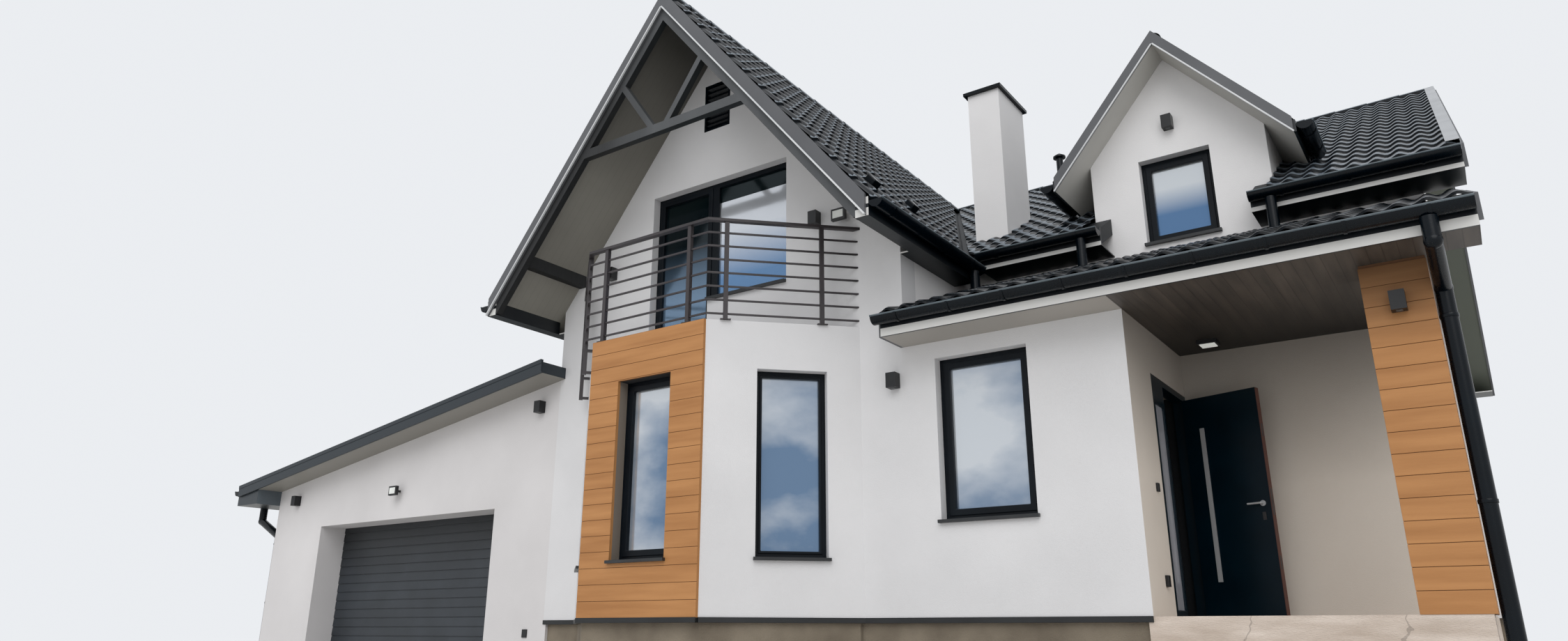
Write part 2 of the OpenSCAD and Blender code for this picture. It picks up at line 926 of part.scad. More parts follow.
module gutters() {
    color(metal_color) placed() {
        gutter_x([wing_right_x + fascia_t, eave_end_left], upper_gutter_y, main_eave_z);
        gutter_x([eave_end_right, main_right_x], upper_gutter_y, main_eave_z);
        gutter_x([main_left_x, main_right_x], back_gutter_y, main_eave_z);
        gutter_x([wing_right - barge_t, lower_right_x], lower_gutter_y, lower_eave_z);
        gutter_y(wing_gutter_left, [-gable_over, main_front_y], wing_eave_z);
        gutter_y(wing_gutter_right, [-gable_over, wing_eave_stop], wing_eave_z);
        for (x = dormer_gutters)
            gutter_y(x, [porch_d - dormer_over, dormer_eave_stop], dormer_eave_z);
        gutter_y(garage_gutter_x, [-garage_over, garage_d + garage_over], garage_top(garage_tip_x));
    }
}

pipe_collar = 8;

// A round pipe through a list of points, with a thicker elbow at each bend
module pipe(points, d = pipe_d) {
    for (i = [0 : len(points) - 2]) {
        run = points[i + 1] - points[i];
        translate(points[i])
            rotate([0, acos(run[2] / norm(run)), atan2(run[1], run[0])])
                cylinder(d = d, h = norm(run));
        if (i > 0)
            translate(points[i])
                sphere(d = d + pipe_collar);
    }
}

module downpipes() {
    below = gutter_drop + gutter_r;
    spout_d = 100;
    straight = 180;
    pipe_x = right_x + 5;
    pipe_y = 60;
    garage_pipe_y = 100;
    wall_gap = 15 + pipe_d / 2;
    lower_z = lower_eave_z - below;
    upper_z_low = main_eave_z - below;
    wing_z = wing_eave_z - below;
    garage_z = garage_top(garage_tip_x) - below;
    color(metal_color) placed() {
        pipe([
            [pipe_x, lower_gutter_y, lower_z], [pipe_x, lower_gutter_y, lower_z - straight],
            [pipe_x, pipe_y, lower_z - 2 * straight], [pipe_x, pipe_y, ground_z]
        ]);
        pipe([
            [garage_gutter_x, garage_pipe_y, garage_z],
            [garage_gutter_x, garage_pipe_y, garage_z - 2 * straight],
            [garage_left - wall_gap, garage_pipe_y, garage_z - 3.5 * straight],
            [garage_left - wall_gap, garage_pipe_y, ground_z]
        ]);
        for (x = [wing_left + 200, right_x - 200])
            pipe([
                [x, back_gutter_y, upper_z_low], [x, back_gutter_y, upper_z_low - straight],
                [x, house_d + wall_gap, upper_z_low - 3 * straight], [x, house_d + wall_gap, ground_z]
            ]);
        difference() {
            union() {
                for (x = [dormer_left - 20, dormer_right + 20])
                    pipe([[x, upper_gutter_y, upper_z_low], [x, upper_gutter_y, upper_z]], spout_d);
                pipe([[wing_gutter_right, 1100, wing_z], [wing_gutter_right, 1100, upper_z]], spout_d);
            }
            under_lower_top();
        }
        difference() {
            pipe([[wing_gutter_left, 1200, wing_z], [wing_gutter_left, 1200, upper_z]], spout_d);
            along_y([0, garage_d], [
                [garage_left, ground_z], [wing_left, ground_z], [wing_left, garage_top(wing_left) + play],
                [garage_left, garage_top(garage_left) + play]
            ]);
        }
    }
}

// Chimney and vents

function chimney_span() = [
    [wing_right + chimney_x - chimney_w, wing_right + chimney_x],
    [porch_d + wall_t, porch_d + wall_t + chimney_d]
];

module chimney() {
    stack = chimney_span();
    color([0.82, 0.82, 0.84]) placed()
        box(stack[0], stack[1], [upper_z, chimney_z]);
}

module chimney_cap() {
    out = 45;
    cap_t = 40;
    stack = chimney_span();
    color(metal_color) placed()
        box([stack[0][0] - out, stack[0][1] + out], [stack[1][0] - out, stack[1][1] + out],
            [chimney_z, chimney_z + cap_t]);
}

// The louvre in the gable, closed behind its slats, and the mushroom vent by the ridge
module vents() {
    color(metal_color) placed() {
        translate([wing_mid, 0, vent_z])
            louvre();
        difference() {
            translate([wing_right - 360, ridge_y - 510, 0])
                roof_vent();
            under_main_top();
        }
    }
}

module louvre() {
    border = 30;
    depth = 50;
    back_t = 8;
    slats = 8;
    pitch = (vent_h - 2 * border) / slats;
    translate([-vent_w / 2, 0, 0])
        difference() {
            cube([vent_w, depth, vent_h]);
            translate([border, -eps, border])
                cube([vent_w - 2 * border, depth + eps - back_t, vent_h - 2 * border]);
        }
    for (i = [0 : slats - 1])
        translate([-vent_w / 2 + border - eps, depth / 2, border + (i + 0.5) * pitch])
            rotate([-40, 0, 0])
                translate([0, -depth / 2, -2])
                    cube([vent_w - 2 * border + 2 * eps, depth, 4]);
}

module roof_vent() {
    stem_d = 110;
    hood_d = 200;
    stem_top = ridge_z + 270;
    translate([0, 0, upper_z])
        cylinder(d = stem_d, h = stem_top - upper_z);
    translate([0, 0, stem_top])
        cylinder(d = hood_d, h = 25);
    translate([0, 0, stem_top + 25])
        cylinder(d1 = hood_d, d2 = 40, h = 55);
}

// Bay and balcony

module bay_prism(z) {
    translate([0, 0, z[0]])
        linear_extrude(z[1] - z[0])
            polygon(bay_outline(0, 0));
}

module bay_wall() {
    color(render_color) placed()
        difference() {
            bay_prism([0, upper_z - slab_t]);
            translate([0, 0, -eps])
                linear_extrude(upper_z)
                    polygon(bay_outline(bay_t, eps));
            on_bay_front() opening(bay_window, bay_t);
            for (side = [-1, 1])
                on_bay_side(side) opening(bay_side_window, bay_t);
        }
}

module bay_cladding() {
    color(board_color) placed()
        difference() {
            box([bay_mid - bay_w / 2, bay_mid + bay_w / 2], [-bay_d - cladding_t, -bay_d], [0, upper_z]);
            on_bay_front() opening(bay_window);
        }
}

module balcony_slab() {
    color(render_color) placed()
        bay_prism([upper_z - slab_t, upper_z]);
}

rail_inset = 10;
rail_out = 95;
rail_top_t = 30;

// A band of one width along the railing's line, which runs outside the bay's left side
rail_h = rail_gap + (rail_n - 1) * rail_pitch + rail_t;

module rail_band(w, h) {
    linear_extrude(h)
        difference() {
            polygon(bay_outline(rail_inset - w / 2, 0, -rail_out - w / 2));
            polygon(bay_outline(rail_inset + w / 2, eps, -rail_out + w / 2));
        }
}

// Turns what is drawn along +X to the run from the railing's corner i to the next
module on_run(i, s) {
    path = bay_outline(rail_inset, 0, -rail_out);
    run = path[i + 1] - path[i];
    translate([path[i][0], path[i][1], 0])
        rotate([0, 0, atan2(run[1], run[0])])
            translate([s, 0, 0])
                children();
}

module rail_post(low) {
    translate([-post_w / 2, -post_w / 2, low])
        cube([post_w, post_w, rail_h - rail_top_t - low]);
}

// Rails from the wall round to the wall. The posts stand on the slab, and those on the left hang
// outside it on brackets.
module balcony_railing() {
    foot = -290;
    bracket_t = 25;
    left_run = norm([bay_d - rail_inset, bay_end(-1, -rail_out) - bay_corner(-1, -rail_out, rail_inset)]);
    color([0.24, 0.22, 0.22]) placed()
        translate([0, 0, upper_z]) {
            translate([0, 0, rail_h - rail_top_t])
                rail_band(2 * rail_top_t, rail_top_t);
            for (i = [1 : rail_n - 1])
                translate([0, 0, rail_h - rail_t - i * rail_pitch])
                    rail_band(rail_t, rail_t);
            for (s = [250, left_run - 130])
                on_run(1, s) {
                    rail_post(foot);
                    for (z = [foot + 10, -bracket_t - 5])
                        translate([-post_w / 2, 0, z])
                            cube([post_w, rail_out, bracket_t]);
                }
            for (s = [260, 1470])
                on_run(2, s) rail_post(0);
            for (s = [190, 1190])
                on_run(3, s) rail_post(0);
        }
}

// Porch

module column_prism(skin, z) {
    x1 = right_x - column_set - skin;
    box([x1 - column_w + 2 * skin, x1], [skin, column_w - skin], z);
}

module porch_column() {
    color(render_color) placed()
        column_prism(cladding_t, [0, ceiling_z]);
}

module column_cladding() {
    color(board_color) placed()
        difference() {
            column_prism(0, [0, ceiling_z]);
            column_prism(cladding_t, [-eps, ceiling_z + eps]);
        }
}

module porch_ceiling() {
    color([0.42, 0.4, 0.38]) placed()
        translate([0, 0, ceiling_z])
            linear_extrude(soffit_t)
                polygon([
                    [wing_right, -lower_eave], [lower_right_x, -lower_eave], [lower_right_x, 0],
                    [right_x, 0], [right_x, porch_d], [0, porch_d], [0, 0], [wing_right, 0]
                ]);
}

// Windows

// Draws the same piece at each window: the window, the skin in front of its wall and its mullion
module window_spot(w, skin = 0, split = false) {
    $w = w;
    $skin = skin;
    $stiles = split ? [0, w[2] / 2, w[2]] : [0, w[2]];
    translate([w[0] - w[2] / 2, 0, w[1]])
        children();
}

module each_window() {
    window_spot(front_window) children();
    on_bay_front() window_spot(bay_window, cladding_t) children();
    for (side = [-1, 1])
        on_bay_side(side) window_spot(bay_side_window) children();
    on_upper_front() window_spot(dormer_window) children();
    for (w = right_windows)
        on_right() window_spot(w, 0, true) children();
    on_left() window_spot(left_window, 0, true) children();
    for (w = back_windows)
        on_back() window_spot(w, 0, true) children();
    on_back(garage_d) window_spot(garage_window, 0, true) children();
}

// The lights between the stiles, from y to y + depth
module window_lights(y, depth) {
    last = len($stiles) - 2;
    for (i = [0 : last]) {
        x0 = $stiles[i] + (i == 0 ? frame_w : frame_w / 2);
        x1 = $stiles[i + 1] - (i == last ? frame_w : frame_w / 2);
        box([x0, x1], [y, y + depth], [sill_t + frame_w, $w[3] - frame_w]);
    }
}

module window_frame() {
    difference() {
        box([0, $w[2]], [reveal, reveal + frame_t], [sill_t, $w[3]]);
        window_lights(reveal - eps, frame_t + 2 * eps);
    }
}

module window_sill() {
    ear = 20;
    box([0, $w[2]], [-$skin - sill_out, reveal + frame_t], [0, sill_t]);
    box([-ear, $w[2] + ear], [-$skin - sill_out, -$skin], [0, sill_t]);
}

pane_y = reveal + (frame_t - pane_t) / 2;

module window_frames() {
    color(frame_color) placed()
        each_window() window_frame();
}

module window_panes() {
    color([0.4, 0.5, 0.6, 0.4]) placed() {
        each_window() window_lights(pane_y, pane_t);
        translate([0, pane_y + pane_t, 0])
            rotate([90, 0, 0])
                linear_extrude(pane_t)
                    balcony_lights();
        along_x([-pane_set - pane_t, -pane_set], sidelight_outline());
    }
}

module window_sills() {
    color(frame_color) placed() {
        each_window() window_sill();
        box([balcony_post, balcony_right], [-sill_out, reveal + frame_t],
            [balcony_sill, balcony_sill + sill_t]);
    }
}

// The balcony's door and window, in one frame

module balcony_lights() {
    translate([balcony_left + frame_w, upper_z + frame_w])
        square([balcony_post - balcony_left - 2 * frame_w, balcony_head - upper_z - 2 * frame_w]);
    translate([balcony_post + frame_w, balcony_sill + sill_t + frame_w])
        square([
            balcony_right - balcony_post - 2 * frame_w, balcony_head - balcony_sill - sill_t - 2 * frame_w
        ]);
}

module balcony_door() {
    color(frame_color) placed()
        translate([0, reveal + frame_t, 0])
            rotate([90, 0, 0])
                linear_extrude(frame_t)
                    difference() {
                        union() {
                            translate([balcony_left, upper_z])
                                square([balcony_post - balcony_left, balcony_head - upper_z]);
                            translate([balcony_post - eps, balcony_sill + sill_t])
                                square([
                                    balcony_right - balcony_post + eps, balcony_head - balcony_sill - sill_t
                                ]);
                        }
                        balcony_lights();
                    }
}

// Entrance. Its frame fills the opening beside the porch's back wall, with the door on the far side.

leaf_set = 5;
pane_set = 15;
door_far = porch_d - jamb_w;
door_near = door_far - leaf_w - 2 * leaf_gap;
door_head = entrance_h - jamb_w;
hinge_x = hinge_d / 2 + 6;
hinge_y = door_far - leaf_gap / 2;
hinge_h = 50;
hinge_gap = 1;
pin_d = 8;
pin_play = 0.2;
hinge_spots = [250, 1050, 1850];

function rectangle(x, y) = [[x[0], y[0]], [x[1], y[0]], [x[1], y[1]], [x[0], y[1]]];

function sidelight_outline() = rectangle(
    [porch_d - entrance_w + jamb_w, door_near - mullion_w], [jamb_w, sidelight_z]);

module entrance_frame() {
    color([0.06, 0.1, 0.12]) placed() {
        translate([-jamb_d, 0, 0])
            rotate([90, 0, 90])
                linear_extrude(jamb_d)
                    difference() {
                        polygon(rectangle([porch_d - entrance_w, porch_d], [0, entrance_h]));
                        polygon(sidelight_outline());
                        polygon(rectangle([door_near, door_far], [-eps, door_head]));
                    }
        for (z = hinge_spots) {
            translate([hinge_x, hinge_y, z]) {
                cylinder(d = hinge_d, h = hinge_h);
                cylinder(d = pin_d, h = 2 * hinge_h + pin_d);
            }
            box([0, hinge_x], [hinge_y + leaf_gap - 2, hinge_y + hinge_d / 2 + 4], [z, z + hinge_h]);
        }
    }
}

// The leaf is drawn shut and turned about its hinges to where it stands
module door_pose() {
    translate([hinge_x, hinge_y, 0])
        rotate([0, 0, leaf_open])
            translate([-hinge_x, -hinge_y, 0])
                children();
}

module front_door() {
    color([0.03, 0.08, 0.1]) placed() door_pose() {
        box([-leaf_set - leaf_t, -leaf_set], [door_near + leaf_gap, door_far - leaf_gap],
            [leaf_floor_gap, door_head - leaf_gap]);
        for (z = hinge_spots)
            translate([0, 0, z + hinge_h + hinge_gap])
                difference() {
                    union() {
                        translate([hinge_x, hinge_y, 0])
                            cylinder(d = hinge_d, h = hinge_h);
                        box([-leaf_set, hinge_x], [hinge_y - 12, hinge_y - 4], [0, hinge_h]);
                    }
                    translate([hinge_x, hinge_y, -eps])
                        cylinder(d = pin_d + 2 * pin_play, h = hinge_h + 2 * eps);
                }
    }
}

// A lever on each face and the long steel bar on the inner face
module door_fittings() {
    lever_z = 1010;
    lever_in = 70;
    bar_in = 166;
    bar_w = 42;
    bar_z = [330, 1780];
    bar_t = 12;
    color([0.7, 0.7, 0.7]) placed() door_pose() {
        translate([-leaf_set, door_near + leaf_gap + lever_in, lever_z])
            lever();
        translate([-leaf_set - leaf_t, door_near + leaf_gap + lever_in, lever_z])
            mirror([1, 0, 0])
                lever();
        box([-leaf_set - leaf_t - bar_t, -leaf_set - leaf_t],
            [door_far - leaf_gap - bar_in - bar_w, door_far - leaf_gap - bar_in], bar_z);
    }
}

module lever() {
    rose_d = 52;
    rose_t = 8;
    neck = 48;
    grip_d = 18;
    grip = 125;
    rotate([0, 90, 0]) {
        cylinder(d = rose_d, h = rose_t);
        cylinder(d = grip_d, h = neck);
    }
    translate([neck, 0, 0]) {
        sphere(d = grip_d);
        rotate([-90, 0, 0])
            cylinder(d = grip_d, h = grip);
    }
}

// Lamps: boxes on the walls, floodlights on arms and one square light under the porch ceiling

module wall_lamp(x, z) {
    translate([x - lamp_w / 2, -lamp_w, z - lamp_h / 2])
        cube([lamp_w, lamp_w, lamp_h]);
}

module flood_lamp(x, z) {
    head_t = 45;
    reach = 130;
    arm = 30;
    translate([x - flood_w / 2, -reach, z - flood_h / 2])
        cube([flood_w, head_t, flood_h]);
    translate([x - arm / 2, -reach + head_t - eps, z - arm / 2])
        cube([arm, reach - head_t + eps, arm]);
}

module lamps() {
    ceiling_t = 40;
    balcony_z = upper_z + balcony_lamp_z;
    flood_drop = 60;
    gable_z = dormer_window[1] + dormer_window[3] + 360;
    color([0.08, 0.08, 0.09]) placed() {
        for (x = [garage_left + 560, wing_left - 308])
            wall_lamp(x, garage_top(x) - garage_roof_t - lamp_under);
        wall_lamp(balcony_left - 639, balcony_z);
        wall_lamp(balcony_right + 414, balcony_z);
        flood_lamp(balcony_right + 765, balcony_z - flood_drop);
        flood_lamp((garage_door_left + garage_door_right) / 2 - 97, garage_door_z + 382);
        wall_lamp(wing_right - lamp_w, porch_lamp_z);
        wall_lamp(right_x - column_set - column_w / 2, porch_lamp_z);
        on_upper_front() wall_lamp(dormer_x - 19, gable_z);
        translate([370 - ceiling_lamp_w / 2, 1490 - ceiling_lamp_w / 2, ceiling_z - ceiling_t])
            cube([ceiling_lamp_w, ceiling_lamp_w, ceiling_t]);
    }
}

plinth();
ground_floor();
upper_floor();
garage_floor();
garage_front_wall();
garage_rear_walls();
garage_door();
garage_roof();
wing_front_wall();
left_wall();
right_wall();
back_wall();
front_wall();
porch_side_wall();
porch_back_wall();
upper_front_wall();
bay_wall();
bay_cladding();
balcony_slab();
balcony_railing();
balcony_door();
porch_landing();
porch_column();
column_cladding();
porch_ceiling();
porch_gable();
main_roof();
wing_roof();
lower_roof();
dormer_roof();
barge_boards();
eave_boards();
gable_truss();
gutters();
downpipes();
chimney();
chimney_cap();
vents();
window_frames();
window_panes();
window_sills();
entrance_frame();
front_door();
door_fittings();
lamps();
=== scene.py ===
import math

import bpy
from mathutils import Matrix, Vector


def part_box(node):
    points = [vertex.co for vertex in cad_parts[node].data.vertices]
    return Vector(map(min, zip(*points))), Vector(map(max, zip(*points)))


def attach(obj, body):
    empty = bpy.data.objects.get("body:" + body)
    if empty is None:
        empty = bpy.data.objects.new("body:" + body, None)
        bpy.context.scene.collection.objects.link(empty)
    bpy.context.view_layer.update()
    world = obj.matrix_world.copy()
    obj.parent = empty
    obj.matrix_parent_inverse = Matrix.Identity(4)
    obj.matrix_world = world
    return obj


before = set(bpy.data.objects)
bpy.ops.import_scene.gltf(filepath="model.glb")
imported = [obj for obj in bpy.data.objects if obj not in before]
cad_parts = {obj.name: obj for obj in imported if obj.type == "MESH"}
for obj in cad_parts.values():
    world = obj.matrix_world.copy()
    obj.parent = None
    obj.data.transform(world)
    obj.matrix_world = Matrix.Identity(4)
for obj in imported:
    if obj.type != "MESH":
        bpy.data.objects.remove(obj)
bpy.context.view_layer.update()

# The studio: a pale floor under a pale, even sky, and a camera at the edge of the street, low down and to the
# right of the house, which looks up at it. All places are metres from the porch's inner corner at floor level.
landing_low, landing_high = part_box("porch_landing")
corner = Vector((landing_low.x + 0.04, landing_low.y, landing_high.z))
sky_tint = (0.83, 0.85, 0.88)
light_tint = (0.96, 0.98, 1)
floor_tint = (0.78, 0.77, 0.75)
floor_side = 160
sky_light = 0.80
sun_light = 1.25
sun_tilt = 48
sun_turn = 24
sun_spread = 50
camera_spot = corner + Vector((2.368, -8.422, -0.138))
camera_turn = 35.362
camera_rise = 17.523
camera_roll = -0.173
lens_mm = 22.763

world = bpy.data.worlds.new("pale_sky")
bpy.context.scene.world = world
world.use_nodes = True
sky_nodes = world.node_tree.nodes
sky_links = world.node_tree.links
sky_nodes.clear()
seen_sky = sky_nodes.new("ShaderNodeBackground")
seen_sky.inputs["Color"].default_value = (*sky_tint, 1)
lit_sky = sky_nodes.new("ShaderNodeBackground")
lit_sky.inputs["Color"].default_value = (*light_tint, 1)
lit_sky.inputs["Strength"].default_value = sky_light
light_path = sky_nodes.new("ShaderNodeLightPath")
seen_rays = light_path.outputs["Is Camera Ray"]
for further_rays in ("Is Glossy Ray", "Is Transmission Ray"):
    either = sky_nodes.new("ShaderNodeMath")
    either.operation = "MAXIMUM"
    sky_links.new(seen_rays, either.inputs[0])
    sky_links.new(light_path.outputs[further_rays], either.inputs[1])
    seen_rays = either.outputs[0]
sky_mix = sky_nodes.new("ShaderNodeMixShader")
sky_links.new(seen_rays, sky_mix.inputs["Fac"])
sky_links.new(lit_sky.outputs[0], sky_mix.inputs[1])
sky_links.new(seen_sky.outputs[0], sky_mix.inputs[2])
sky_out = sky_nodes.new("ShaderNodeOutputWorld")
sky_links.new(sky_mix.outputs[0], sky_out.inputs["Surface"])

bpy.ops.object.select_all(action="DESELECT")
bpy.ops.mesh.primitive_plane_add(size=floor_side)
studio_floor = bpy.context.object
studio_floor.name = "studio_floor"
floor_paint = bpy.data.materials.new("floor_paint")
floor_paint.use_nodes = True
floor_shader = floor_paint.node_tree.nodes["Principled BSDF"]
floor_shader.inputs["Base Color"].default_value = (*floor_tint, 1)
floor_shader.inputs["Roughness"].default_value = 0.9
studio_floor.data.materials.append(floor_paint)

bpy.ops.object.light_add(type="SUN", rotation=(math.radians(sun_tilt), 0, math.radians(sun_turn)))
sun = bpy.context.object
sun.data.energy = sun_light
sun.data.angle = math.radians(sun_spread)

bpy.ops.object.camera_add(location=camera_spot)
camera = bpy.context.object
camera.rotation_euler = (math.radians(90 + camera_rise), math.radians(camera_roll), math.radians(camera_turn))
camera.data.sensor_width = 36
camera.data.lens = lens_mm
camera.data.clip_end = 300
bpy.context.scene.camera = camera
bpy.context.scene.view_settings.view_transform = "Standard"

# Walls: masonry in a fine white render, a little uneven from the trowel. It covers all walls, the column, the
# chimney and the balcony's slab. Painted shade darkens it under the porch's ceiling, in the reveals of the bay
# window and the door, and in the rooms behind. The porch's walls are a warmer copy whose tint paints the porch's
# shade, and the upper walls are a lighter copy, painted light.
room_high = 2.7


def tint(red, green, blue):
    return tuple((part / 255) ** 2.2 for part in (red, green, blue)) + (1,)


def grey(share):
    return (share, share, share, 1)


def mixed_finish(name, dark, light, roughness, metallic=0.0, patches=1.5, grain=60, depth=0.001, stretch=(1, 1, 1),
                 specular=0.5, span=(0.3, 0.7)):
    finish = bpy.data.materials.new(name)
    finish.use_nodes = True
    nodes = finish.node_tree.nodes
    links = finish.node_tree.links
    shader = nodes["Principled BSDF"]
    shader.inputs["Metallic"].default_value = metallic
    shader.inputs["Specular IOR Level"].default_value = specular
    place = nodes.new("ShaderNodeTexCoord")
    mapping = nodes.new("ShaderNodeMapping")
    mapping.inputs["Scale"].default_value = stretch
    links.new(place.outputs["Object"], mapping.inputs["Vector"])
    clouds = nodes.new("ShaderNodeTexNoise")
    clouds.inputs["Scale"].default_value = patches
    clouds.inputs["Detail"].default_value = 6
    links.new(mapping.outputs[0], clouds.inputs["Vector"])
    blend = nodes.new("ShaderNodeMix")
    blend.data_type = "RGBA"
    blend.inputs["A"].default_value = dark
    blend.inputs["B"].default_value = light
    spread = nodes.new("ShaderNodeMapRange")
    spread.inputs["From Min"].default_value = span[0]
    spread.inputs["From Max"].default_value = span[1]
    links.new(clouds.outputs["Fac"], spread.inputs["Value"])
    links.new(spread.outputs[0], blend.inputs["Factor"])
    links.new(blend.outputs["Result"], shader.inputs["Base Color"])
    fine = nodes.new("ShaderNodeTexNoise")
    fine.inputs["Scale"].default_value = grain
    fine.inputs["Detail"].default_value = 4
    links.new(mapping.outputs[0], fine.inputs["Vector"])
    sheen = nodes.new("ShaderNodeMapRange")
    sheen.inputs["To Min"].default_value = max(roughness - 0.08, 0.02)
    sheen.inputs["To Max"].default_value = min(roughness + 0.08, 1)
    links.new(fine.outputs["Fac"], sheen.inputs["Value"])
    links.new(sheen.outputs[0], shader.inputs["Roughness"])
    relief = nodes.new("ShaderNodeBump")
    relief.inputs["Distance"].default_value = depth
    links.new(fine.outputs["Fac"], relief.inputs["Height"])
    links.new(relief.outputs[0], shader.inputs["Normal"])
    return finish


def paint(finish, *node_names):
    for node_name in node_names:
        for place in bpy.data.objects[node_name].material_slots:
            place.material = finish


def change_tone(finish, factor, colour, blend="MIX"):
    nodes = finish.node_tree.nodes
    links = finish.node_tree.links
    coat = nodes["Principled BSDF"].inputs["Base Color"]
    change = nodes.new("ShaderNodeMix")
    change.data_type = "RGBA"
    change.blend_type = blend
    change.inputs["B"].default_value = colour
    links.new(factor, change.inputs["Factor"])
    links.new(coat.links[0].from_socket, change.inputs["A"])
    links.new(change.outputs["Result"], coat)
    return change


def within(axis, low, high):
    start = corner["XYZ".index(axis)]
    return ("Object", axis, start + low, start + high)


def tone_where(finish, tests, colour):
    nodes = finish.node_tree.nodes
    links = finish.node_tree.links
    place = nodes.new("ShaderNodeTexCoord")
    factor = None
    for source, axis, low, high in tests:
        split = nodes.new("ShaderNodeSeparateXYZ")
        links.new(place.outputs[source], split.inputs[0])
        near = nodes.new("ShaderNodeMath")
        near.operation = "COMPARE"
        near.inputs[1].default_value = (low + high) / 2
        near.inputs[2].default_value = (high - low) / 2
        links.new(split.outputs[axis], near.inputs[0])
        if factor:
            both = nodes.new("ShaderNodeMath")
            both.operation = "MULTIPLY"
            links.new(factor.outputs[0], both.inputs[0])
            links.new(near.outputs[0], both.inputs[1])
            factor = both
        else:
            factor = near
    return change_tone(finish, factor.outputs[0], colour)


def fading(finish, axis, start, end, shade, toned=None):
    nodes = finish.node_tree.nodes
    links = finish.node_tree.links
    place = nodes.new("ShaderNodeTexCoord")
    split = nodes.new("ShaderNodeSeparateXYZ")
    links.new(place.outputs["Object"], split.inputs[0])
    share = nodes.new("ShaderNodeMapRange")
    share.inputs["From Min"].default_value, share.inputs["From Max"].default_value = within(axis, start, end)[2:]
    links.new(split.outputs[axis], share.inputs["Value"])
    if toned:
        change = nodes.new("ShaderNodeMix")
        change.data_type = "RGBA"
        change.blend_type = "MULTIPLY"
        change.inputs["A"].default_value = toned.inputs["B"].default_value
        change.inputs["B"].default_value = shade
        links.new(share.outputs[0], change.inputs["Factor"])
        links.new(change.outputs["Result"], toned.inputs["B"])
    else:
        change_tone(finish, share.outputs[0], shade, "MULTIPLY")


def shade_indoors(finish):
    # All that faces the rooms is painted dark as shade, since nothing lights them
    for room_x, room_y in [((-6.84, -0.29), (0.29, 11.43)), ((-0.31, 2.04), (2.19, 11.43))]:
        tone_where(finish, [within("X", *room_x), within("Y", *room_y), within("Z", -0.1, room_high)],
                   tint(30, 31, 33))
    return finish


# The porch's render is a warmer copy of the wall render, whose tint paints the warm cast of the porch's shade
wall_render, front_render, shaded_porch_render, brightened_upper_render, garage_render = [
    mixed_finish(render_name, dark, light, 0.9, patches=0.7, grain=180, depth=0.002)
    for render_name, dark, light in [
        ("wall_render", tint(206, 205, 206), tint(218, 217, 218)),
        ("front_render", tint(206, 205, 206), tint(218, 217, 218)),
        ("shaded_porch_render", tint(214, 205, 194), tint(224, 215, 204)),
        ("brightened_upper_render", tint(228, 226, 226), tint(238, 236, 236)),
        ("garage_render", tint(201, 198, 198), tint(213, 210, 210))]]
for house_render in [wall_render, front_render, shaded_porch_render, brightened_upper_render]:
    shade_indoors(house_render)
# Painted shade: the porch's walls darken towards its ceiling
porch_shade = ("Z", 1.2, 2.55, grey(0.38))
# Painted shade: the front wall's end face beside the porch takes the porch's shaded tint and darkening
shaded_front_end = tone_where(front_render, [within("X", -0.005, 0.1), ("Normal", "X", 0.5, 1.1)], tint(219, 210, 199))
fading(front_render, *porch_shade, shaded_front_end)
fading(shaded_porch_render, *porch_shade)
# Painted shade: the far reveal of the doorway is painted nearly black
tone_where(shaded_porch_render, [within("X", -0.31, -0.001), within("Y", 1.05, 1.905), within("Z", -0.1, 2.3),
                          ("Normal", "Y", -1.1, -0.5)], tint(16, 20, 24))
bay_window_hole = [within("X", -4.937, -4.203), within("Y", -1.1515, -1), within("Z", 0.519, 2.39)]
# Painted shade: the bay window's reveals are painted darker, and their undersides nearly black
tone_where(wall_render, bay_window_hole, tint(122, 112, 102))
tone_where(wall_render, [*bay_window_hole, ("Normal", "Z", -1.1, -0.5)], tint(34, 36, 38))
paint(wall_render, "wing_front_wall", "left_wall", "right_wall", "back_wall", "bay_wall", "balcony_slab",
      "porch_column", "porch_gable")
paint(garage_render, "garage_front_wall", "garage_rear_walls")
# Painted light: the upper front wall and the chimney take the lighter copy of the render
paint(brightened_upper_render, "upper_front_wall", "chimney")
paint(shaded_porch_render, "porch_side_wall", "porch_back_wall")
paint(front_render, "front_wall")

# Plinth, landing and floors: the plinth and the landing are concrete in a rough unpainted render, paler on the
# landing. The floors behind them are plain screed, with painted shade inside the rooms.
plinth_render = mixed_finish("plinth_render", tint(100, 91, 79), tint(132, 122, 107), 0.95, patches=2, grain=90,
                             depth=0.006)
landing_render = mixed_finish("landing_render", tint(184, 168, 154), tint(216, 202, 190), 0.93, patches=3, grain=70,
                              depth=0.006, stretch=(0.7, 0.7, 3.5))


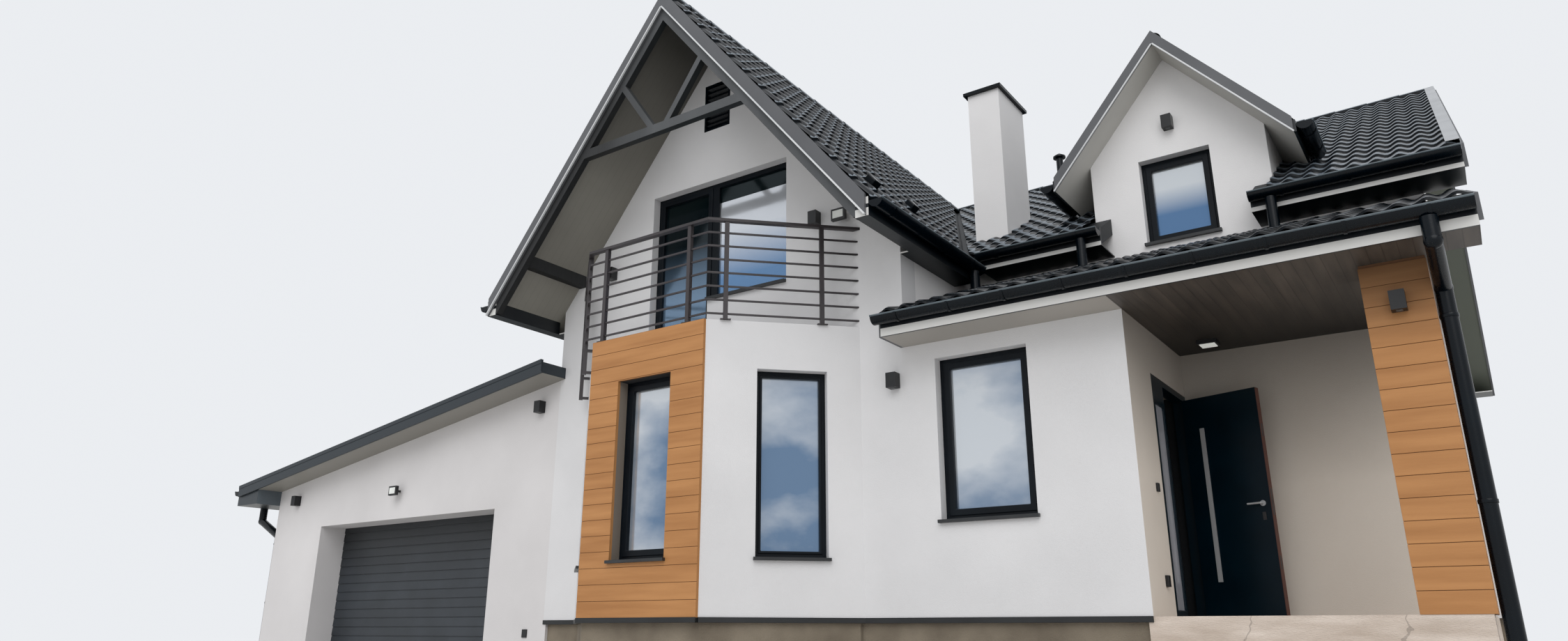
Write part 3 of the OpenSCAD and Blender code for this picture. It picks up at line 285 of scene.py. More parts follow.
def cracked(finish, scale, width, shade):
    nodes = finish.node_tree.nodes
    links = finish.node_tree.links
    wobble = nodes.new("ShaderNodeTexNoise")
    wobble.inputs["Scale"].default_value = 9
    place = nodes.new("ShaderNodeTexCoord")
    links.new(place.outputs["Object"], wobble.inputs["Vector"])
    bent = nodes.new("ShaderNodeVectorMath")
    bent.operation = "MULTIPLY_ADD"
    bent.inputs[1].default_value = (0.09, 0.09, 0.09)
    links.new(wobble.outputs["Color"], bent.inputs[0])
    links.new(place.outputs["Object"], bent.inputs[2])
    cells = nodes.new("ShaderNodeTexVoronoi")
    cells.feature = "DISTANCE_TO_EDGE"
    cells.inputs["Scale"].default_value = scale
    links.new(bent.outputs[0], cells.inputs["Vector"])
    crack = nodes.new("ShaderNodeMath")
    crack.operation = "LESS_THAN"
    crack.inputs[1].default_value = width
    links.new(cells.outputs["Distance"], crack.inputs[0])
    change_tone(finish, crack.outputs[0], shade, "MULTIPLY")


cracked(landing_render, scale=0.7, width=0.003, shade=grey(0.68))
screed = shade_indoors(mixed_finish("screed", tint(120, 118, 114), tint(150, 147, 142), 0.85, patches=1, grain=50))
paint(plinth_render, "plinth")
paint(landing_render, "porch_landing")
paint(screed, "ground_floor", "upper_floor", "garage_floor")

# Soffits and ceilings: folded panels with a narrow groove every ten centimetres, satin brown grey, nailed to the
# underside of the tiled roofs. The fascia boards along the eaves are nearly black, with pale strips of wall behind.
groove_pitch = 0.1
groove_share = 0.07


def grooved(finish, axis, shade):
    nodes = finish.node_tree.nodes
    links = finish.node_tree.links
    place = nodes.new("ShaderNodeTexCoord")
    axes = nodes.new("ShaderNodeSeparateXYZ")
    links.new(place.outputs["Object"], axes.inputs[0])
    count = nodes.new("ShaderNodeMath")
    count.operation = "DIVIDE"
    count.inputs[1].default_value = groove_pitch
    links.new(axes.outputs[axis], count.inputs[0])
    part = nodes.new("ShaderNodeMath")
    part.operation = "FRACT"
    links.new(count.outputs[0], part.inputs[0])
    groove = nodes.new("ShaderNodeMath")
    groove.operation = "LESS_THAN"
    groove.inputs[1].default_value = groove_share
    links.new(part.outputs[0], groove.inputs[0])
    change_tone(finish, groove.outputs[0], shade, "MULTIPLY")


ceiling_panel = mixed_finish("ceiling_panel", tint(62, 58, 54), tint(88, 80, 73), 0.5, patches=2, grain=90,
                             depth=0.0004, stretch=(6, 0.5, 1))
grooved(ceiling_panel, "X", grey(0.55))
# Painted light: the ceiling in front of the wall, under the lower eave, is painted pale where daylight reaches it
tone_where(ceiling_panel, [within("Y", -0.5, 0), within("X", -3, 0)], tint(160, 155, 148))
# Painted shade: the ceiling darkens towards the back of the porch
fading(ceiling_panel, "Y", -0.1, 1.7, grey(0.12))
roof_lining = mixed_finish("roof_lining", tint(122, 119, 111), tint(138, 135, 126), 0.6, patches=0.8, grain=120,
                           depth=0.0004)
grooved(roof_lining, "Y", grey(0.9))
# Painted shade: the lining darkens towards the gable's apex
fading(roof_lining, "Z", 5.2, 6.7, grey(0.25))
# Painted shade: the lining is darker at the roof's right end
tone_where(roof_lining, [within("X", 2.3, 2.7)], tint(84, 88, 79))
dormer_lining = mixed_finish("dormer_lining", tint(196, 194, 188), tint(210, 208, 202), 0.6, patches=0.8, grain=120,
                             depth=0.0004)
for lining in [roof_lining, dormer_lining]:
    tone_where(lining, [("Normal", "Z", -0.3, 1.1)], tint(10, 18, 23))
eave_panel = mixed_finish("eave_panel", tint(5, 14, 20), tint(10, 20, 27), 0.4, patches=1, grain=120,
                          depth=0.0004)
tone_where(eave_panel, [("Normal", "Z", -1.1, -0.5)], tint(24, 31, 34))
for strip_low, strip_high in [(2.5, 2.66), (3.4, 3.66), (3.7, 3.83)]:
    tone_where(eave_panel, [within("Z", strip_low, strip_high), within("X", -9, 3), ("Normal", "X", -0.5, 0.5),
                            ("Normal", "Z", -0.5, 0.5)], tint(212, 211, 208))
for box_axis, box_low, box_high, box_tint in [("Y", -1.1, -0.5, tint(34, 42, 48)), ("X", 0.5, 1.1, tint(84, 92, 98))]:
    tone_where(eave_panel, [within("X", -15, -12), ("Normal", box_axis, box_low, box_high)], box_tint)
paint(ceiling_panel, "porch_ceiling")
paint(roof_lining, "main_roof", "wing_roof", "lower_roof")
paint(dormer_lining, "dormer_roof")
paint(eave_panel, "eave_boards")

# Roof tiles: pressed steel sheets in gloss black, each wave a hand wide and each row a step that sheds the rain
# over the next one. They are screwed to battens and cut along the valleys, the chimney and the dormer. The pale
# lip along each row is a painted highlight.
tile_wide = 0.185
tile_row = 0.35
tile_swell = 0.034
tile_step = 0.026
tile_lift = 0.012
tile_metal_t = 0.004
tile_overhang = 0.045
valley_gap = 0.05

ridge_z = 7.105
wing_mid = -4.645
wing_half = 2.700
wing_front = -1.040
wing_pitch = math.radians(51)
wing_slope = math.tan(wing_pitch)
main_ridge_y = 6.810
main_half = 5.340
main_left = -7.465
main_right = 2.665
main_eave_z = 3.985
main_slope = (ridge_z - main_eave_z) / main_half
main_pitch = math.atan(main_slope)
dormer_x = 0.192
dormer_half_wall = 0.9075
dormer_half = 1.2035
dormer_front = 1.528
dormer_ridge_z = 6.110
dormer_pitch = math.radians(49.9)
dormer_slope = math.tan(dormer_pitch)
dormer_roof_t = 0.05
lower_front = -0.430
lower_eave_z = 2.800
lower_pitch = math.radians(21.2)
lower_left = -2.160
lower_right = 2.620
porch_depth = 1.900
dormer_lap = 0.02
crease = math.radians(38)

tile_gloss = mixed_finish("tile_gloss", tint(2, 10, 16), tint(9, 18, 24), 0.3, patches=5, grain=260, depth=0.0003,
                          specular=0.14)
# Painted highlight: the lip of each row is picked out by its slant on every slope and painted pale
for lip_low, lip_high in [(-0.8, -0.47), (0.47, 0.8)]:
    tone_where(tile_gloss, [("Normal", "Y", lip_low, lip_high)], tint(100, 108, 116))
for lip_low, lip_high in [(-1.1, -0.76), (0.76, 1.1)]:
    tone_where(tile_gloss, [("Normal", "X", lip_low, lip_high), ("Normal", "Z", 0.2, 0.56)], tint(116, 124, 132))


def spot(x, y, z):
    return corner + Vector((x, y, z))


def alone(piece):
    bpy.ops.object.select_all(action="DESELECT")
    piece.select_set(True)
    bpy.context.view_layer.objects.active = piece


def with_modifier(piece, kind, **settings):
    alone(piece)
    modifier = piece.modifiers.new(kind.lower(), kind)
    for setting, value in settings.items():
        setattr(modifier, setting, value)
    bpy.ops.object.modifier_apply(modifier=modifier.name)


def repeated(piece, count, step, **settings):
    with_modifier(piece, "ARRAY", count=count, use_relative_offset=False, use_constant_offset=True,
                  constant_offset_displace=step, **settings)


def smoothed(piece):
    alone(piece)
    bpy.ops.object.shade_smooth_by_angle(angle=crease)


def along_ways(foot, *ways):
    return Matrix.Translation(foot) @ Matrix(ways).transposed().to_4x4()


def cut_sheet(sheet, point, normal):
    alone(sheet)
    bpy.ops.object.mode_set(mode="EDIT")
    bpy.ops.mesh.select_all(action="SELECT")
    bpy.ops.mesh.bisect(plane_co=point, plane_no=normal, clear_outer=True)
    bpy.ops.object.mode_set(mode="OBJECT")


def settle(piece, finish, body="house"):
    piece.data.materials.clear()
    piece.data.materials.append(finish)
    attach(piece, body)
    return piece


def tile_sheet(name, eave, along, up, width, rise, cuts, lap=tile_overhang, tall=1.0):
    columns = round(width / tile_wide)
    wide = width / columns
    rows = math.ceil((rise + lap) / tile_row)
    bpy.ops.object.select_all(action="DESELECT")
    bpy.ops.mesh.primitive_grid_add(x_subdivisions=8, y_subdivisions=3, size=1, location=(0.5, 0.5, 0))
    sheet = bpy.context.object
    sheet.name = name
    bpy.ops.object.transform_apply(location=True)
    lines = {0: (0, 0), 1: (0.012, 0.8), 2: (0.045, 1), 3: (tile_row, 0)}
    for point in sheet.data.vertices:
        far_up, lift = lines[round(point.co.y * 3)]
        wave = 0.5 - 0.5 * math.cos(2 * math.pi * point.co.x)
        point.co = (point.co.x * wide, far_up, tall * (tile_lift + lift * tile_step + wave * tile_swell))
    for count, step in [(columns, (wide, 0, 0)), (rows, (0, tile_row, 0))]:
        repeated(sheet, count, step, use_merge_vertices=True, merge_threshold=0.0005)
    sheet.data.transform(along_ways(eave - lap * up, along, up, along.cross(up)))
    for point, normal in cuts:
        cut_sheet(sheet, point, normal)
    return sheet


def cut_window(sheet, planes, inside):
    alone(sheet)
    bpy.ops.object.mode_set(mode="EDIT")
    for point, normal in planes:
        bpy.ops.mesh.select_all(action="SELECT")
        bpy.ops.mesh.bisect(plane_co=point, plane_no=normal)
    bpy.ops.mesh.select_all(action="DESELECT")
    bpy.ops.object.mode_set(mode="OBJECT")
    for face in sheet.data.polygons:
        face.select = inside(face.center)
    bpy.ops.object.mode_set(mode="EDIT")
    bpy.ops.mesh.delete(type="FACE")
    bpy.ops.object.mode_set(mode="OBJECT")


def finish_sheet(sheet):
    with_modifier(sheet, "SOLIDIFY", thickness=tile_metal_t, offset=-1)
    smoothed(sheet)
    settle(sheet, tile_gloss)


def lean(pitch, x, y):
    return Vector((x * math.cos(pitch), y * math.cos(pitch), math.sin(pitch)))


def inside_chimney(point):
    return stack_low.x < point.x < stack_high.x and stack_low.y < point.y < stack_high.y


def inside_dormer(point):
    aside = abs(point.x - corner.x - dormer_x)
    roof_z = corner.z + dormer_ridge_z - dormer_slope * aside
    return aside < dormer_half_wall and point.z < roof_z - dormer_roof_t


east = Vector((1, 0, 0))
north = Vector((0, 1, 0))
stack_low, stack_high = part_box("chimney")

# In plan, the ways across the two valleys between the wing and the main roof
right_across = Vector((wing_slope, main_slope, 0)).normalized()
left_across = Vector((-right_across.x, right_across.y, 0))
ridge_end = spot(wing_mid, main_ridge_y, 0)
main_ridge = spot(0, main_ridge_y, 0)

main_rise = main_half / math.cos(main_pitch)
main_up = lean(main_pitch, 0, 1)
main_eave = spot(main_left, main_ridge_y - main_half, main_eave_z)
main_front_right = tile_sheet("tiles_main_front_right", main_eave, east, main_up, main_right - main_left, main_rise,
                              [(main_ridge, north), (ridge_end + valley_gap * right_across, -right_across)])
cut_window(main_front_right,
           [(stack_low, east), (stack_high, east), (stack_low, north), (stack_high, north)], inside_chimney)
cut_window(main_front_right, [(Vector((corner.x + dormer_x - dormer_half_wall, 0, 0)), east),
                              (Vector((corner.x + dormer_x + dormer_half_wall, 0, 0)), east)], inside_dormer)
finish_sheet(main_front_right)
finish_sheet(tile_sheet("tiles_main_front_left", main_eave, east, main_up, wing_mid - main_left, main_rise,
                        [(main_ridge, north), (ridge_end + valley_gap * left_across, -left_across)]))
finish_sheet(tile_sheet("tiles_main_back", spot(main_right, main_ridge_y + main_half, main_eave_z), -east,
                        lean(main_pitch, 0, -1), main_right - main_left, main_rise, [(main_ridge, -north)]))

wing_rise = wing_half / math.cos(wing_pitch)
wing_eave_z = ridge_z - wing_slope * wing_half
wing_depth = main_ridge_y - wing_front
finish_sheet(tile_sheet("tiles_wing_right", spot(wing_mid + wing_half, wing_front, wing_eave_z), north,
                        lean(wing_pitch, -1, 0), wing_depth, wing_rise,
                        [(ridge_end, -east), (ridge_end - valley_gap * right_across, right_across)]))
finish_sheet(tile_sheet("tiles_wing_left", spot(wing_mid - wing_half, main_ridge_y, wing_eave_z), -north,
                        lean(wing_pitch, 1, 0), wing_depth, wing_rise,
                        [(ridge_end, east), (ridge_end - valley_gap * left_across, left_across)]))

dormer_rise = dormer_half / math.cos(dormer_pitch)
dormer_eave_z = dormer_ridge_z - dormer_slope * dormer_half
dormer_top_y = main_ridge_y - (ridge_z - dormer_ridge_z) / main_slope
dormer_depth = dormer_top_y - dormer_front
dormer_top = spot(dormer_x, dormer_top_y, 0)
dormer_across = Vector((dormer_slope, main_slope, 0)).normalized()
finish_sheet(tile_sheet("tiles_dormer_right", spot(dormer_x + dormer_half, dormer_front, dormer_eave_z), north,
                        lean(dormer_pitch, -1, 0), dormer_depth, dormer_rise,
                        [(dormer_top, -east), (dormer_top, dormer_across)], dormer_lap, tall=0.45))
finish_sheet(tile_sheet("tiles_dormer_left", spot(dormer_x - dormer_half, dormer_top_y, dormer_eave_z), -north,
                        lean(dormer_pitch, 1, 0), dormer_depth, dormer_rise,
                        [(dormer_top, east), (dormer_top, Vector((-dormer_across.x, dormer_across.y, 0)))],
                        dormer_lap, tall=0.45))
finish_sheet(tile_sheet("tiles_lower", spot(lower_left, lower_front, lower_eave_z), east, lean(lower_pitch, 0, 1),
                        lower_right - lower_left, (porch_depth - lower_front) / math.cos(lower_pitch),
                        [(spot(0, porch_depth, 0), north)]))

# Ridge caps: half-round pressed lengths of the same gloss black steel as the tiles. They lap each other and are
# screwed along the three ridges.
cap_radius = 0.085
cap_length = 0.4
cap_metal_t = 0.004
cap_flare = 1.1
cap_z = ridge_z - 0.01
dormer_cap_z = dormer_ridge_z - 0.07


def ridge_cap(name, start, end):
    run = end - start
    count = round(run.length / cap_length)
    step = run.length / count
    bpy.ops.object.select_all(action="DESELECT")
    bpy.ops.mesh.primitive_cylinder_add(vertices=24, radius=cap_radius, depth=step, end_fill_type="NOTHING",
                                        location=(0, 0, step / 2))
    cap = bpy.context.object
    cap.name = name
    bpy.ops.object.transform_apply(location=True)
    cut_sheet(cap, (-0.02, 0, 0), (-1, 0, 0))
    for point in cap.data.vertices:
        if point.co.z > cap_length / 2:
            point.co.x *= cap_flare
            point.co.y *= cap_flare
    with_modifier(cap, "SOLIDIFY", thickness=cap_metal_t, offset=-1)
    repeated(cap, count, (0, 0, step))
    forward = run.normalized()
    up = Vector((0, 0, 1))
    cap.data.transform(along_ways(start, up, forward.cross(up), forward))
    smoothed(cap)
    settle(cap, tile_gloss)


ridge_cap("ridge_cap_main", spot(main_left, main_ridge_y, cap_z), spot(main_right, main_ridge_y, cap_z))
ridge_cap("ridge_cap_wing", spot(wing_mid, main_ridge_y, cap_z), spot(wing_mid, wing_front, cap_z))
ridge_cap("ridge_cap_dormer", dormer_top + Vector((0, 0, dormer_cap_z)),
          spot(dormer_x, dormer_front + 0.02, dormer_cap_z))

# Roof hoods: two small square hoods of pressed steel with a flat rim, in the gutters' black coat. They are screwed
# over holes in the tiles on the wing's right slope.
hood_side = 0.13
hood_high = 0.1
hood_rim = 0.03
hood_sunk = 0.02
hood_lift = 0.04


def block(low, high):
    bpy.ops.object.select_all(action="DESELECT")
    bpy.ops.mesh.primitive_cube_add(size=1)
    piece = bpy.context.object
    for point in piece.data.vertices:
        point.co = [low[i] if point.co[i] < 0 else high[i] for i in range(3)]
    return piece


def joined(name, pieces):
    bpy.ops.object.select_all(action="DESELECT")
    for piece in pieces:
        piece.select_set(True)
    bpy.context.view_layer.objects.active = pieces[0]
    if len(pieces) > 1:
        bpy.ops.object.join()
    pieces[0].name = name
    return pieces[0]


def bevelled(piece, width):
    with_modifier(piece, "BEVEL", width=width, segments=2, limit_method="ANGLE")


def blocks(name, spans, finish, edge=0.004, body="house", place=None):
    piece = joined(name, [block(low, high) for low, high in spans])
    bevelled(piece, edge)
    piece.data.transform(place or Matrix.Translation(corner))
    return settle(piece, finish, body)


gutter_coat = mixed_finish("gutter_coat", tint(1, 12, 18), tint(4, 18, 25), 0.28, patches=2, grain=180,
                           depth=0.0002, specular=0.22)
hood_half = hood_side / 2
rim_half = hood_half + hood_rim
for hood_index, (hood_x, hood_y) in enumerate([(-2.26, -0.43), (-2.385, 0.64)]):
    hood_z = ridge_z - wing_slope * (hood_x - wing_mid) + hood_lift
    tilt = Matrix.Translation(spot(hood_x, hood_y, hood_z)) @ Matrix.Rotation(wing_pitch, 4, "Y")
    blocks("roof_hood_%d" % hood_index, [((-hood_half, -hood_half, -hood_sunk), (hood_half, hood_half, hood_high)),
                                         ((-rim_half, -rim_half, -hood_sunk), (rim_half, rim_half, 0.012))],
           gutter_coat, edge=0.012, place=tilt)

# Verge flashings: folded pale grey sheet over the ends of the tiles on the main roof, one length on each of its four
# verges, screwed to the barge boards.
flashing_wide = 0.11
flashing_high = 0.082
flashing_lap = 0.03
flashing_t = 0.004
flashing_out = 0.008
flashing_metal = mixed_finish("flashing_metal", tint(150, 152, 155), tint(170, 172, 175), 0.45, patches=2, grain=200,
                              depth=0.0002)
for flashing_name, flashing_x, way, inward in [
        ("front_right", main_right + flashing_out, 1, 1), ("front_left", main_left - flashing_out, 1, -1),
        ("back_right", main_right + flashing_out, -1, -1), ("back_left", main_left - flashing_out, -1, 1)]:
    up = lean(main_pitch, 0, way)
    out = Vector((0, -way * up.z, abs(up.y)))
    foot = spot(flashing_x, main_ridge_y - way * main_half, main_eave_z) - flashing_lap * up
    long = main_rise + flashing_lap
    near_y, far_y = sorted((0, inward * flashing_wide))
    edge_low, edge_high = sorted((0, inward * flashing_t))
    blocks("flashing_" + flashing_name,
           [((0, near_y, flashing_high - flashing_t), (long, far_y, flashing_high)),
            ((0, edge_low, -0.02), (long, edge_high, flashing_high))],
           flashing_metal, edge=0.001, place=along_ways(foot, up, out.cross(up), out))

# Garage roof and the verges: folded satin sheet in dark grey, clipped to boards. The garage roof has standing seams
# that run down the slope, a pale lining below, and a folded line along its front board. A bright drip lip ends the
# boards of the gable and of the dormer.
verge_metal = mixed_finish("verge_metal", tint(80, 81, 84), tint(92, 93, 96), 0.5, patches=1.2, grain=200,
                           depth=0.0003)
tone_where(verge_metal, [within("X", -15, -6.9), within("Z", 1.5, 3.3)], tint(34, 42, 48))
garage_sheet = mixed_finish("garage_sheet", tint(34, 42, 48), tint(44, 52, 58), 0.45, patches=0.8, grain=160,
                            depth=0.0004)
tone_where(garage_sheet, [("Normal", "Z", -1.1, -0.5)], tint(132, 129, 122))
lip_metal = mixed_finish("lip_metal", tint(196, 198, 200), tint(214, 215, 216), 0.4, patches=2, grain=200,
                         depth=0.0002)
paint(verge_metal, "barge_boards")
paint(garage_sheet, "garage_roof")
garage_left = -13.540
garage_tip = -14.100
garage_eave_z = 2.153
garage_slope = math.tan(math.radians(8.3))
garage_angle = math.atan(garage_slope)
garage_tip_z = garage_eave_z + garage_slope * (garage_tip - garage_left)
slope_long = 7.05 / math.cos(garage_angle)
seam_long = 6.95 / math.cos(garage_angle)
seam_first = -0.36
seam_pitch = 0.5
seam_count = 15
seam_wide = 0.008
seam_high = 0.03
along_roof = Matrix.Translation(spot(garage_tip, 0, garage_tip_z)) @ Matrix.Rotation(-garage_angle, 4, "Y")
seam_places = [seam_first + seam_pitch * i for i in range(seam_count)]
blocks("garage_roof_seams", [((0, y, 0), (seam_long, y + seam_wide, seam_high)) for y in seam_places],
       garage_sheet, edge=0.002, place=along_roof)
blocks("garage_board_folds", [((0, -0.416, -0.02), (slope_long, -0.409, 0.034)),
                              ((0, -0.414, -0.146), (slope_long, -0.409, -0.13))],
       verge_metal, edge=0.002, place=along_roof)
for lips_name, lips_x, lips_y, lips_z, lips_pitch, lips_half, lip_out in [
        ("gable", wing_mid, -1.07, ridge_z - 0.175 - 0.018, wing_pitch, wing_half, 0.022),
        ("dormer", dormer_x, dormer_front - 0.03, dormer_ridge_z - 0.13 - 0.012, dormer_pitch, dormer_half, 0.014)]:
    lips_long = lips_half / math.cos(lips_pitch)
    for lip_side, lip_turn, lip_low, lip_high in [("right", lips_pitch, -0.002, 0.014),
                                                  ("left", math.pi - lips_pitch, -0.014, 0.002)]:
        lip_place = Matrix.Translation(spot(lips_x, lips_y, lips_z)) @ Matrix.Rotation(lip_turn, 4, "Y")
        blocks("%s_lip_%s" % (lips_name, lip_side), [((0, -lip_out, lip_low), (lips_long, 0.002, lip_high))],
               lip_metal, edge=0.002, place=lip_place)

# Truss and purlins in the front gable: planed timber in a dark stain, with painted shade on its undersides and,
# darker still, on the left. It is notched together and bolted behind.
truss_stain_and_shade = mixed_finish("truss_stain_and_shade", tint(64, 66, 68), tint(82, 84, 86), 0.6, patches=2, grain=30, depth=0.002,
                           stretch=(1, 1, 0.15))
# Painted shade: the undersides are nearly black, and the left end darkens further
tone_where(truss_stain_and_shade, [("Normal", "Z", -1.1, -0.5)], tint(16, 24, 27))
fading(truss_stain_and_shade, "X", -4.7, -5.5, grey(0.16))
paint(truss_stain_and_shade, "gable_truss")

# Gutters and downpipes: steel with a gloss coat, nearly black, as on the vents and the chimney's cap. Straps hold
# the gutters every 60 cm, a rolled bead stiffens their front edge, and clips hold the pipes to the wall. The bead's
# paler colour is a painted highlight.
gutter_radius = 0.075
strap_pitch = 0.6
strap_wide = 0.025
strap_t = 0.004
bead_radius = 0.009
clip_radius = 0.0625
clip_high = 0.03
clip_count = 3
front, back, left, right = Vector((0, -1, 0)), Vector((0, 1, 0)), Vector((-1, 0, 0)), Vector((1, 0, 0))
gutter_spans = [
    ((-1.920, 1.370, 3.940), (-0.545, 1.370, 3.940), front), ((0.930, 1.370, 3.940), (2.665, 1.370, 3.940), front),
    ((-7.465, 12.250, 3.940), (2.665, 12.250, 3.940), back), ((-2.190, -0.530, 2.755), (2.620, -0.530, 2.755), front),
    ((-7.445, -1.040, 3.726), (-7.445, 1.470, 3.726), left), ((-1.845, -1.040, 3.726), (-1.845, 1.250, 3.726), right),
    ((-14.200, -0.380, 2.026), (-14.200, 6.880, 2.026), left), ((-1.112, 1.528, 4.636), (-1.112, 2.359, 4.636), left),
    ((1.496, 1.528, 4.636), (1.496, 2.359, 4.636), right)
]
paint(gutter_coat, "gutters", "downpipes", "vents", "chimney_cap")
straps = []
beads = []
for start, end, outward in gutter_spans:
    run = Vector(end) - Vector(start)
    count = int(run.length / strap_pitch)
    for i in range(count + 1):
        bpy.ops.object.select_all(action="DESELECT")
        bpy.ops.mesh.primitive_cylinder_add(vertices=28, radius=gutter_radius + 0.003, depth=strap_wide,
                                            end_fill_type="NOTHING", rotation=(0, math.pi / 2, 0))
        strap = bpy.context.object
        bpy.ops.object.transform_apply(rotation=True)
        cut_sheet(strap, (0, 0, strap_t), (0, 0, 1))
        with_modifier(strap, "SOLIDIFY", thickness=strap_t, offset=1)
        turn = math.atan2(run.y, run.x)
        place = Vector(start) + run * ((i + 0.5) / (count + 1))
        strap.data.transform(Matrix.Translation(spot(*place)) @ Matrix.Rotation(turn, 4, "Z"))
        straps.append(strap)
for start, end, outward in gutter_spans:
    run = Vector(end) - Vector(start)
    bpy.ops.object.select_all(action="DESELECT")
    bpy.ops.mesh.primitive_cylinder_add(vertices=12, radius=bead_radius, depth=run.length)
    bead = bpy.context.object
    turn = run.to_track_quat("Z", "Y").to_matrix().to_4x4()
    middle = (Vector(start) + Vector(end)) / 2 + gutter_radius * outward
    bead.data.transform(Matrix.Translation(spot(*middle)) @ turn)
    beads.append(bead)
# Painted highlight: the bead is paler than the gutter's coat
painted_bead_highlight = mixed_finish("painted_bead_highlight", tint(70, 80, 86), tint(90, 100, 106), 0.3, patches=2, grain=180,
                          depth=0.0002)
for gutter_part, gutter_name, gutter_finish in [(straps, "gutter_straps", gutter_coat),
                                                (beads, "gutter_beads", painted_bead_highlight)]:
    gutter_piece = joined(gutter_name, gutter_part)
    smoothed(gutter_piece)
    settle(gutter_piece, gutter_finish)
pipe_clips = []
for clip_x, clip_y, lowest, highest in [(2.335, 0.06, -0.6, 2.1), (-13.6125, 0.1, -0.6, 1.2),
                                        (-6.93, 11.7925, -0.5, 3.3), (2.13, 11.7925, -0.5, 3.3)]:
    for i in range(clip_count):
        bpy.ops.object.select_all(action="DESELECT")
        bpy.ops.mesh.primitive_cylinder_add(vertices=32, radius=clip_radius, depth=clip_high)
        clip = bpy.context.object
        clip_z = lowest + (highest - lowest) * i / (clip_count - 1)
        clip.data.transform(Matrix.Translation(spot(clip_x, clip_y, clip_z)))
        bevelled(clip, 0.003)
        pipe_clips.append(clip)
clip_piece = joined("pipe_clips", pipe_clips)
smoothed(clip_piece)
settle(clip_piece, gutter_coat)

# Drip strips: folded dark steel along the foot of the walls, further out in front of the bay's boards. They are
# nailed under the render above the plinth.
drip_out = 0.014
drip_high = 0.045
drip_runs = [
    ((-7.130, 0), (-6.605, 0), 0), ((-6.605, 0), (-5.355, -1.122), 0), ((-5.355, -1.122), (-3.785, -1.122), 0.03),
    ((-3.785, -1.122), (-2.663, 0), 0), ((-2.663, 0), (0.0, 0), 0), ((2.330, 1.9), (2.330, 11.72), 0),
    ((2.330, 11.72), (-7.130, 11.72), 0), ((-7.130, 11.72), (-7.130, 6.5), 0)
]


def facing(x, y, z, turn):
    return Matrix.Translation(spot(x, y, z)) @ Matrix.Rotation(math.radians(turn), 4, "Z")


strips = []
for start, end, board_out in drip_runs:
    run = Vector(end) - Vector(start)
    strip = block((0, -drip_out - board_out, -drip_high), (run.length, 0.045, 0.004))
    strip.data.transform(facing(*start, 0, math.degrees(math.atan2(run.y, run.x))))
    strips.append(strip)
drip_piece = joined("drip_strips", strips)
bevelled(drip_piece, 0.003)
drip_steel = mixed_finish("drip_steel", tint(18, 20, 22), tint(30, 32, 34), 0.45, patches=3, grain=150,
                          depth=0.0002)
settle(drip_piece, drip_steel)

# Boards of the bay and of the column: smooth boards in a warm orange brown, 16 cm to the weather, laid flat one
# above the other with a thin joint and nailed to battens.
course = 0.16
board_proud = 0.006
board_gap = 0.003
window_hole_low = (-4.936, -1.3, 0.520)
window_hole_high = (-4.204, -1.0, 2.389)
board_finish, shaded_column_finish = [
    mixed_finish(finish_name, tint(160, 109, 62), tint(181, 128, 78), 0.62, patches=2.2, grain=40, depth=0.0006,
                 stretch=(0.4, 0.4, 5)) for finish_name in ("board_finish", "shaded_column_finish")]
# Painted shade: the column's boards darken towards the porch's ceiling
fading(shaded_column_finish, "Z", 1.9, 2.65, grey(0.3))
seam_dark = mixed_finish("seam_dark", tint(84, 56, 34), tint(98, 68, 44), 0.8, patches=3, grain=60)
tone_where(seam_dark, [within("X", -5.4, -3.7), ("Normal", "X", 0.5, 1.1)], tint(170, 118, 70))
paint(seam_dark, "bay_cladding", "column_cladding")
for boards_name, low, high, courses, finish in [
        ("bay_boards", (-5.355, -1.152 - board_proud), (-3.785, -1.150), 18, board_finish),
        ("column_boards", (1.82 - board_proud, -board_proud), (2.26 + board_proud, 0.44 + board_proud), 16,
         shaded_column_finish)]:
    boards = block((*low, 0.001), (*high, course - board_gap))
    bevelled(boards, 0.002)
    repeated(boards, courses, (0, 0, course))
    if boards_name == "bay_boards":
        window_hole = block(window_hole_low, window_hole_high)
        with_modifier(boards, "BOOLEAN", operation="DIFFERENCE", solver="EXACT", object=window_hole)
        bpy.data.objects.remove(window_hole)
    boards.name = boards_name
    boards.data.transform(Matrix.Translation(corner))
    settle(boards, finish)

# Windows: plastic profiles in dark grey, screwed into the walls, with a sash inside each frame, coated steel sills,
# and coated glass held by beads. The glass's colour is a painted reflection of the sky and its clouds, with painted
# reflections of the porch's wall in the sidelight and of the overhang across the top of the balcony window.
frame_plastic = mixed_finish("frame_plastic", tint(8, 15, 21), tint(16, 23, 29), 0.4, patches=3, grain=150,
                             depth=0.0002, specular=0.18)
sill_coat = mixed_finish("sill_coat", tint(30, 32, 34), tint(42, 44, 46), 0.4, patches=3, grain=150, depth=0.0002)
pane_glass = mixed_finish("pane_glass", tint(104, 128, 156), tint(204, 209, 214), 0.08, metallic=0.55, patches=0.55,
                          grain=3, depth=0.0002, stretch=(1, 1, 1.7), span=(0.37, 0.58))
# Painted reflection: the sidelight is painted pale, as the porch's lit wall mirrored in it
tone_where(pane_glass, [within("X", -0.2, 0.05), within("Y", 0.7, 1.1)], tint(222, 224, 234))
